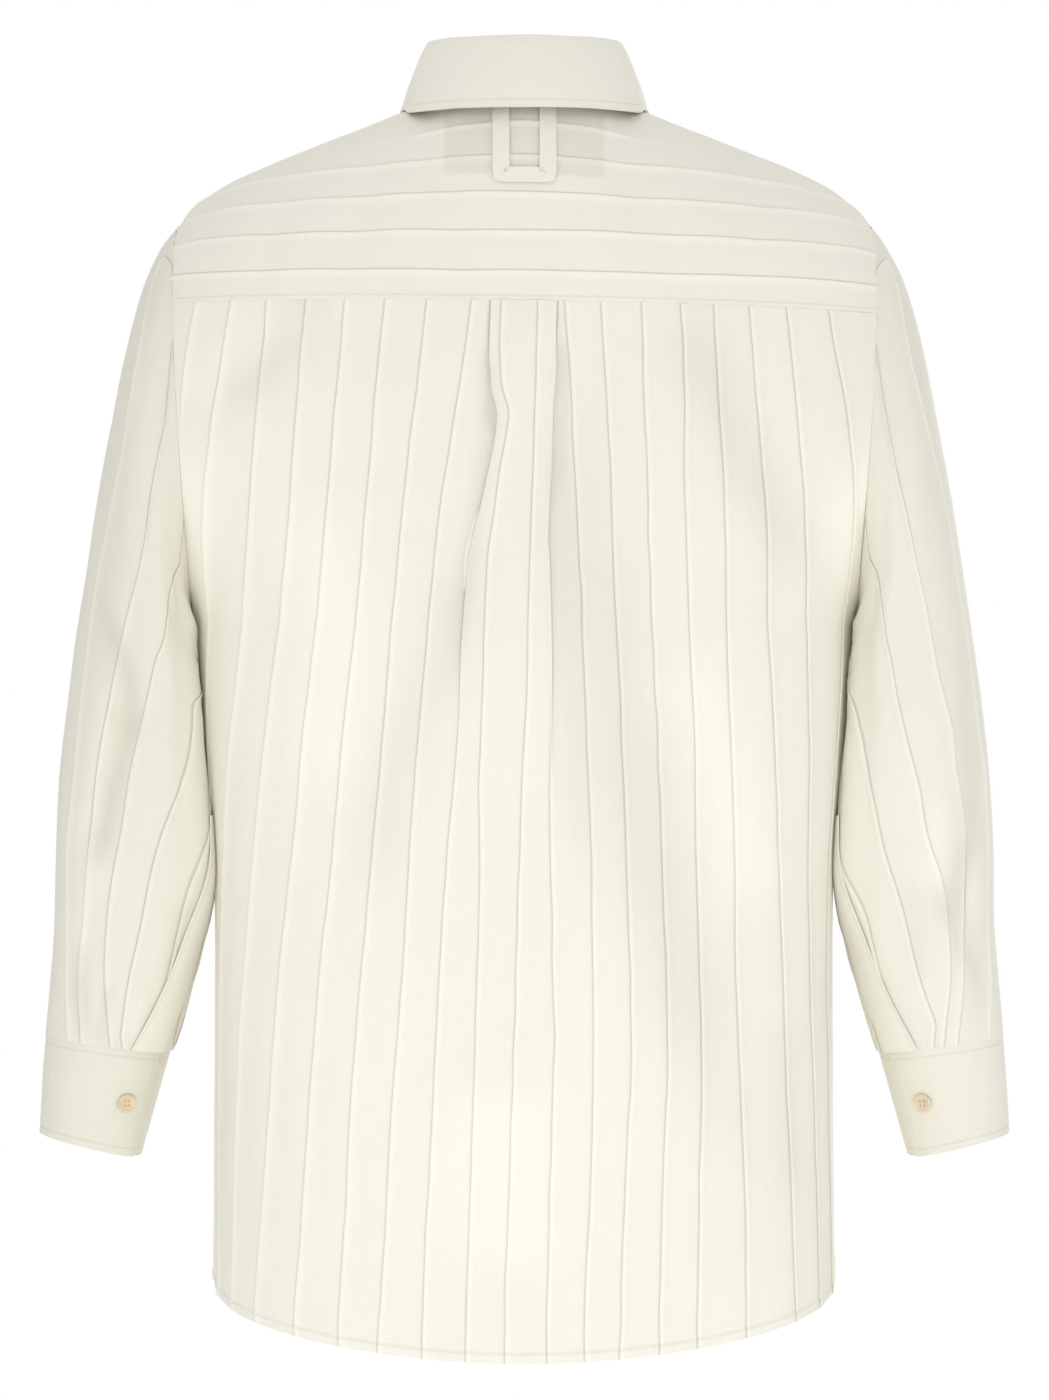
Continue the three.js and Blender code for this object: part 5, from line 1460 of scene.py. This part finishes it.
def sewing(side):
    """One bar of thread between two holes, in the button's frame: rings of points."""
    t = np.linspace(-1, 1, 9)
    bow = SEWING["rise"] + SEWING["bow"] * (1 - t ** 2) - SEWING["dip"] * np.abs(t) ** 6
    line = np.stack([side * HOLE["from_middle"] + SEWING["slant"] * t, t * SEWING["half"], bow], axis=-1)
    spin = np.arange(SEWING["corners"]) / SEWING["corners"] * 2 * math.pi
    ring = np.stack([np.cos(spin), 0 * spin, np.sin(spin)], axis=-1) * SEWING["thick"]
    return line[:, None, :] + ring[None, :, :]


def capped(rows, columns, start):
    """Faces of a tube of rings with both ends closed."""
    last = start + (rows - 1) * columns
    ends = [[start + k for k in range(columns)], [last + k for k in reversed(range(columns))]]
    return grid_faces(rows, columns, start, True) + ends


def button(name, normal):
    """A turned disc sewn on with two bars of thread, at the solid's own place."""
    low, high = (np.array(c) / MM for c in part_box(name))
    up = unit(np.array(normal, float))
    side = unit(np.cross(up, [0.0, 0.0, 1.0]))
    frame_of = ((low + high) / 2 - up * BUTTON_THICK / 2, side, np.cross(side, up), up)
    disc = placed(button_disc(), *frame_of)
    faces, points = capped(*disc.shape[:2], 0), disc.reshape(-1, 3)
    if float(np.dot(np.cross(disc[5, 0] - disc[4, 0], disc[4, 1] - disc[4, 0]), up)) < 0:
        faces = [f[::-1] for f in faces]
    face_count = len(faces)
    for which in (1, -1):
        bar = placed(sewing(which), *frame_of)
        faces += [[f[0], *f[:0:-1]] for f in capped(*bar.shape[:2], len(points))]
        points = np.concatenate([points, bar.reshape(-1, 3)])
    piece = new_mesh(name + "_turned", points * MM, faces)
    piece.data.materials.append(material("button"))
    piece.data.materials.append(material("thread"))
    index = np.arange(len(faces)) >= face_count
    piece.data.polygons.foreach_set("material_index", index.astype(int))
    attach(piece, "root")
    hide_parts(name)
    return piece


# Stage.

SENSOR = 24.0
PHOTO = {"pixels": 1400, "pixel": 0.64}
FLOOR = {"radius": 1.3, "level": -1.25, "corners": 96}
DAYLIGHT = 0.76
AIM = (0, 0, -0.4)
# name, place, size across, power
LAMPS = [
    ("key", (0.05, 1.75, -1.15), 0.7, 7.8), ("fill", (-2.2, 2.2, -0.5), 1.6, 9),
    ("side", (2.2, 2.2, -1.0), 1.6, 5), ("front", (-1.2, -3.0, -0.2), 1.6, 30),
    ("top", (0.4, -0.2, 2.4), 1.8, 6),
]


def stage_camera(scene):
    """Behind the shirt, as high and as wide as the photo's frame."""
    camera = bpy.data.objects.new("camera", bpy.data.cameras.new("camera"))
    scene.collection.objects.link(camera)
    camera.location = (0, VIEW_DISTANCE * MM, VIEW_HEIGHT * MM)
    camera.rotation_euler = (math.radians(90), 0, math.radians(180))
    camera.data.sensor_fit, camera.data.sensor_height = "VERTICAL", SENSOR
    camera.data.lens = SENSOR * VIEW_DISTANCE / (PHOTO["pixels"] * PHOTO["pixel"])
    scene.camera = camera
    scene.view_settings.view_transform = "Standard"


def stage_floor():
    """A pale round floor well below the hem."""
    turn = np.arange(FLOOR["corners"]) / FLOOR["corners"] * 2 * math.pi
    rim = np.stack([np.cos(turn), np.sin(turn), 0 * turn], axis=-1) * FLOOR["radius"] + [0, 0, FLOOR["level"]]
    floor = new_mesh("floor", rim, [list(range(len(turn)))])
    f, pale = Finish("floor"), tuple(bpy.context.scene.shirt_colours.floor)
    f.look(f.clouds(f.place(), 40.0, 3.0), pale, tuple(c * 0.97 for c in pale[:3]) + (1,), 0.9)
    floor.data.materials.append(f.material)


def stage_light(scene):
    """An even white world, seen as pure white by the camera, and soft lamps that it doesn't see."""
    world = bpy.data.worlds.new("studio")
    world.use_nodes = True
    nodes, links = world.node_tree.nodes, world.node_tree.links
    join = nodes.new("ShaderNodeMixShader")
    links.new(nodes.new("ShaderNodeLightPath").outputs["Is Camera Ray"], join.inputs[0])
    lit, seen = nodes["Background"], nodes.new("ShaderNodeBackground")
    for place, (background, strength) in enumerate([(lit, DAYLIGHT), (seen, 1.0)]):
        background.inputs["Color"].default_value = (1, 1, 1, 1)
        background.inputs["Strength"].default_value = strength
        links.new(background.outputs[0], join.inputs[1 + place])
    links.new(join.outputs[0], nodes["World Output"].inputs["Surface"])
    scene.world = world
    for name, place, size, power in LAMPS:
        data = bpy.data.lights.new(name, "AREA")
        data.shape, data.size, data.energy = "DISK", size, power
        lamp = bpy.data.objects.new(name, data)
        lamp.location = place
        lamp.visible_camera = False
        lamp.rotation_euler = (Vector(AIM) - Vector(place)).to_track_quat("-Z", "Y").to_euler()
        scene.collection.objects.link(lamp)


# Operators.

class SHIRT_OT_stage(bpy.types.Operator):
    """Camera at the photo's angle, a pale floor and soft studio light"""

    bl_idname = "shirt.stage"
    bl_label = "Stage"

    def execute(self, context):
        stage_camera(context.scene)
        stage_floor()
        stage_light(context.scene)
        return {"FINISHED"}


class SHIRT_OT_back(bpy.types.Operator):
    """Back panel with its pressed tucks, the centre pleat and the curved hem"""

    bl_idname = "shirt.back"
    bl_label = "Back panel"

    def execute(self, context):
        back_panel()
        return {"FINISHED"}


class SHIRT_OT_yoke(bpy.types.Operator):
    """Yoke over the shoulders with tucks across it"""

    bl_idname = "shirt.yoke"
    bl_label = "Yoke"

    def execute(self, context):
        yoke()
        return {"FINISHED"}


class SHIRT_OT_fronts(bpy.types.Operator):
    """Both fronts and the band down the front edge"""

    bl_idname = "shirt.fronts"
    bl_label = "Fronts"

    def execute(self, context):
        front_panel("right", -1, -12.5)
        front_panel("left", 1, -11.8)
        front_band()
        return {"FINISHED"}


class SHIRT_OT_sleeves(bpy.types.Operator):
    """Sleeves with lengthwise tucks, and the strips beside their slits"""

    bl_idname = "shirt.sleeves"
    bl_label = "Sleeves"

    def execute(self, context):
        for word, side in (("left", 1), ("right", -1)):
            sleeve(word, side)
            sleeve_placket(word, side)
        return {"FINISHED"}


class SHIRT_OT_cuffs(bpy.types.Operator):
    """Lapped cuffs"""

    bl_idname = "shirt.cuffs"
    bl_label = "Cuffs"

    def execute(self, context):
        for word, side in (("left", 1), ("right", -1)):
            cuff(word, side)
        return {"FINISHED"}


class SHIRT_OT_collar(bpy.types.Operator):
    """Collar stand and its turned-down leaf"""

    bl_idname = "shirt.collar"
    bl_label = "Collar"

    def execute(self, context):
        collar_stand()
        collar_leaf()
        return {"FINISHED"}


class SHIRT_OT_trims(bpy.types.Operator):
    """Hanging tape below the collar and the blank label inside the yoke"""

    bl_idname = "shirt.trims"
    bl_label = "Tape and label"

    def execute(self, context):
        hanger_loop()
        neck_label()
        return {"FINISHED"}


class SHIRT_OT_buttons(bpy.types.Operator):
    """Buttons of the front, the stand and the cuffs, sewn on with thread"""

    bl_idname = "shirt.buttons"
    bl_label = "Buttons"

    def execute(self, context):
        for i in range(1, 8):
            button(f"button_front_{i}", (0, -1, 0.28 if i == 1 else 0))
        button("button_stand", (0, -1, 0.1))
        out = cuff_normals(np.array([CUFF["button"]]), np.array([0.5]))
        for word, side in (("left", 1), ("right", -1)):
            button(f"button_cuff_{word}", turned(out, side)[0])
        return {"FINISHED"}


class SHIRT_PT_panel(bpy.types.Panel):
    """Sizes, colours and the steps that build the shirt"""

    bl_idname = "SHIRT_PT_panel"
    bl_label = "Shirt"
    bl_space_type = "VIEW_3D"
    bl_region_type = "UI"
    bl_category = "Shirt"

    def draw(self, context):
        for group in (context.scene.shirt_sizes, context.scene.shirt_colours):
            for name in group.__annotations__:
                self.layout.prop(group, name)
        for operator in OPERATORS:
            self.layout.operator(operator.bl_idname)


OPERATORS = (
    SHIRT_OT_stage, SHIRT_OT_back, SHIRT_OT_yoke, SHIRT_OT_fronts, SHIRT_OT_sleeves,
    SHIRT_OT_cuffs, SHIRT_OT_collar, SHIRT_OT_trims, SHIRT_OT_buttons,
)
CLASSES = (ShirtSizes, ShirtColours, *OPERATORS, SHIRT_PT_panel)


def register():
    for kind in CLASSES:
        bpy.utils.register_class(kind)
    bpy.types.Scene.shirt_sizes = bpy.props.PointerProperty(type=ShirtSizes)
    bpy.types.Scene.shirt_colours = bpy.props.PointerProperty(type=ShirtColours)


def unregister():
    del bpy.types.Scene.shirt_colours
    del bpy.types.Scene.shirt_sizes
    for kind in reversed(CLASSES):
        bpy.utils.unregister_class(kind)


def main():
    register()
    bpy.ops.shirt.stage()
    bpy.ops.shirt.back()
    bpy.ops.shirt.yoke()
    bpy.ops.shirt.fronts()
    bpy.ops.shirt.sleeves()
    bpy.ops.shirt.cuffs()
    bpy.ops.shirt.collar()
    bpy.ops.shirt.trims()
    bpy.ops.shirt.buttons()
    bpy.context.view_layer.update()


if __name__ == "__main__":
    main()
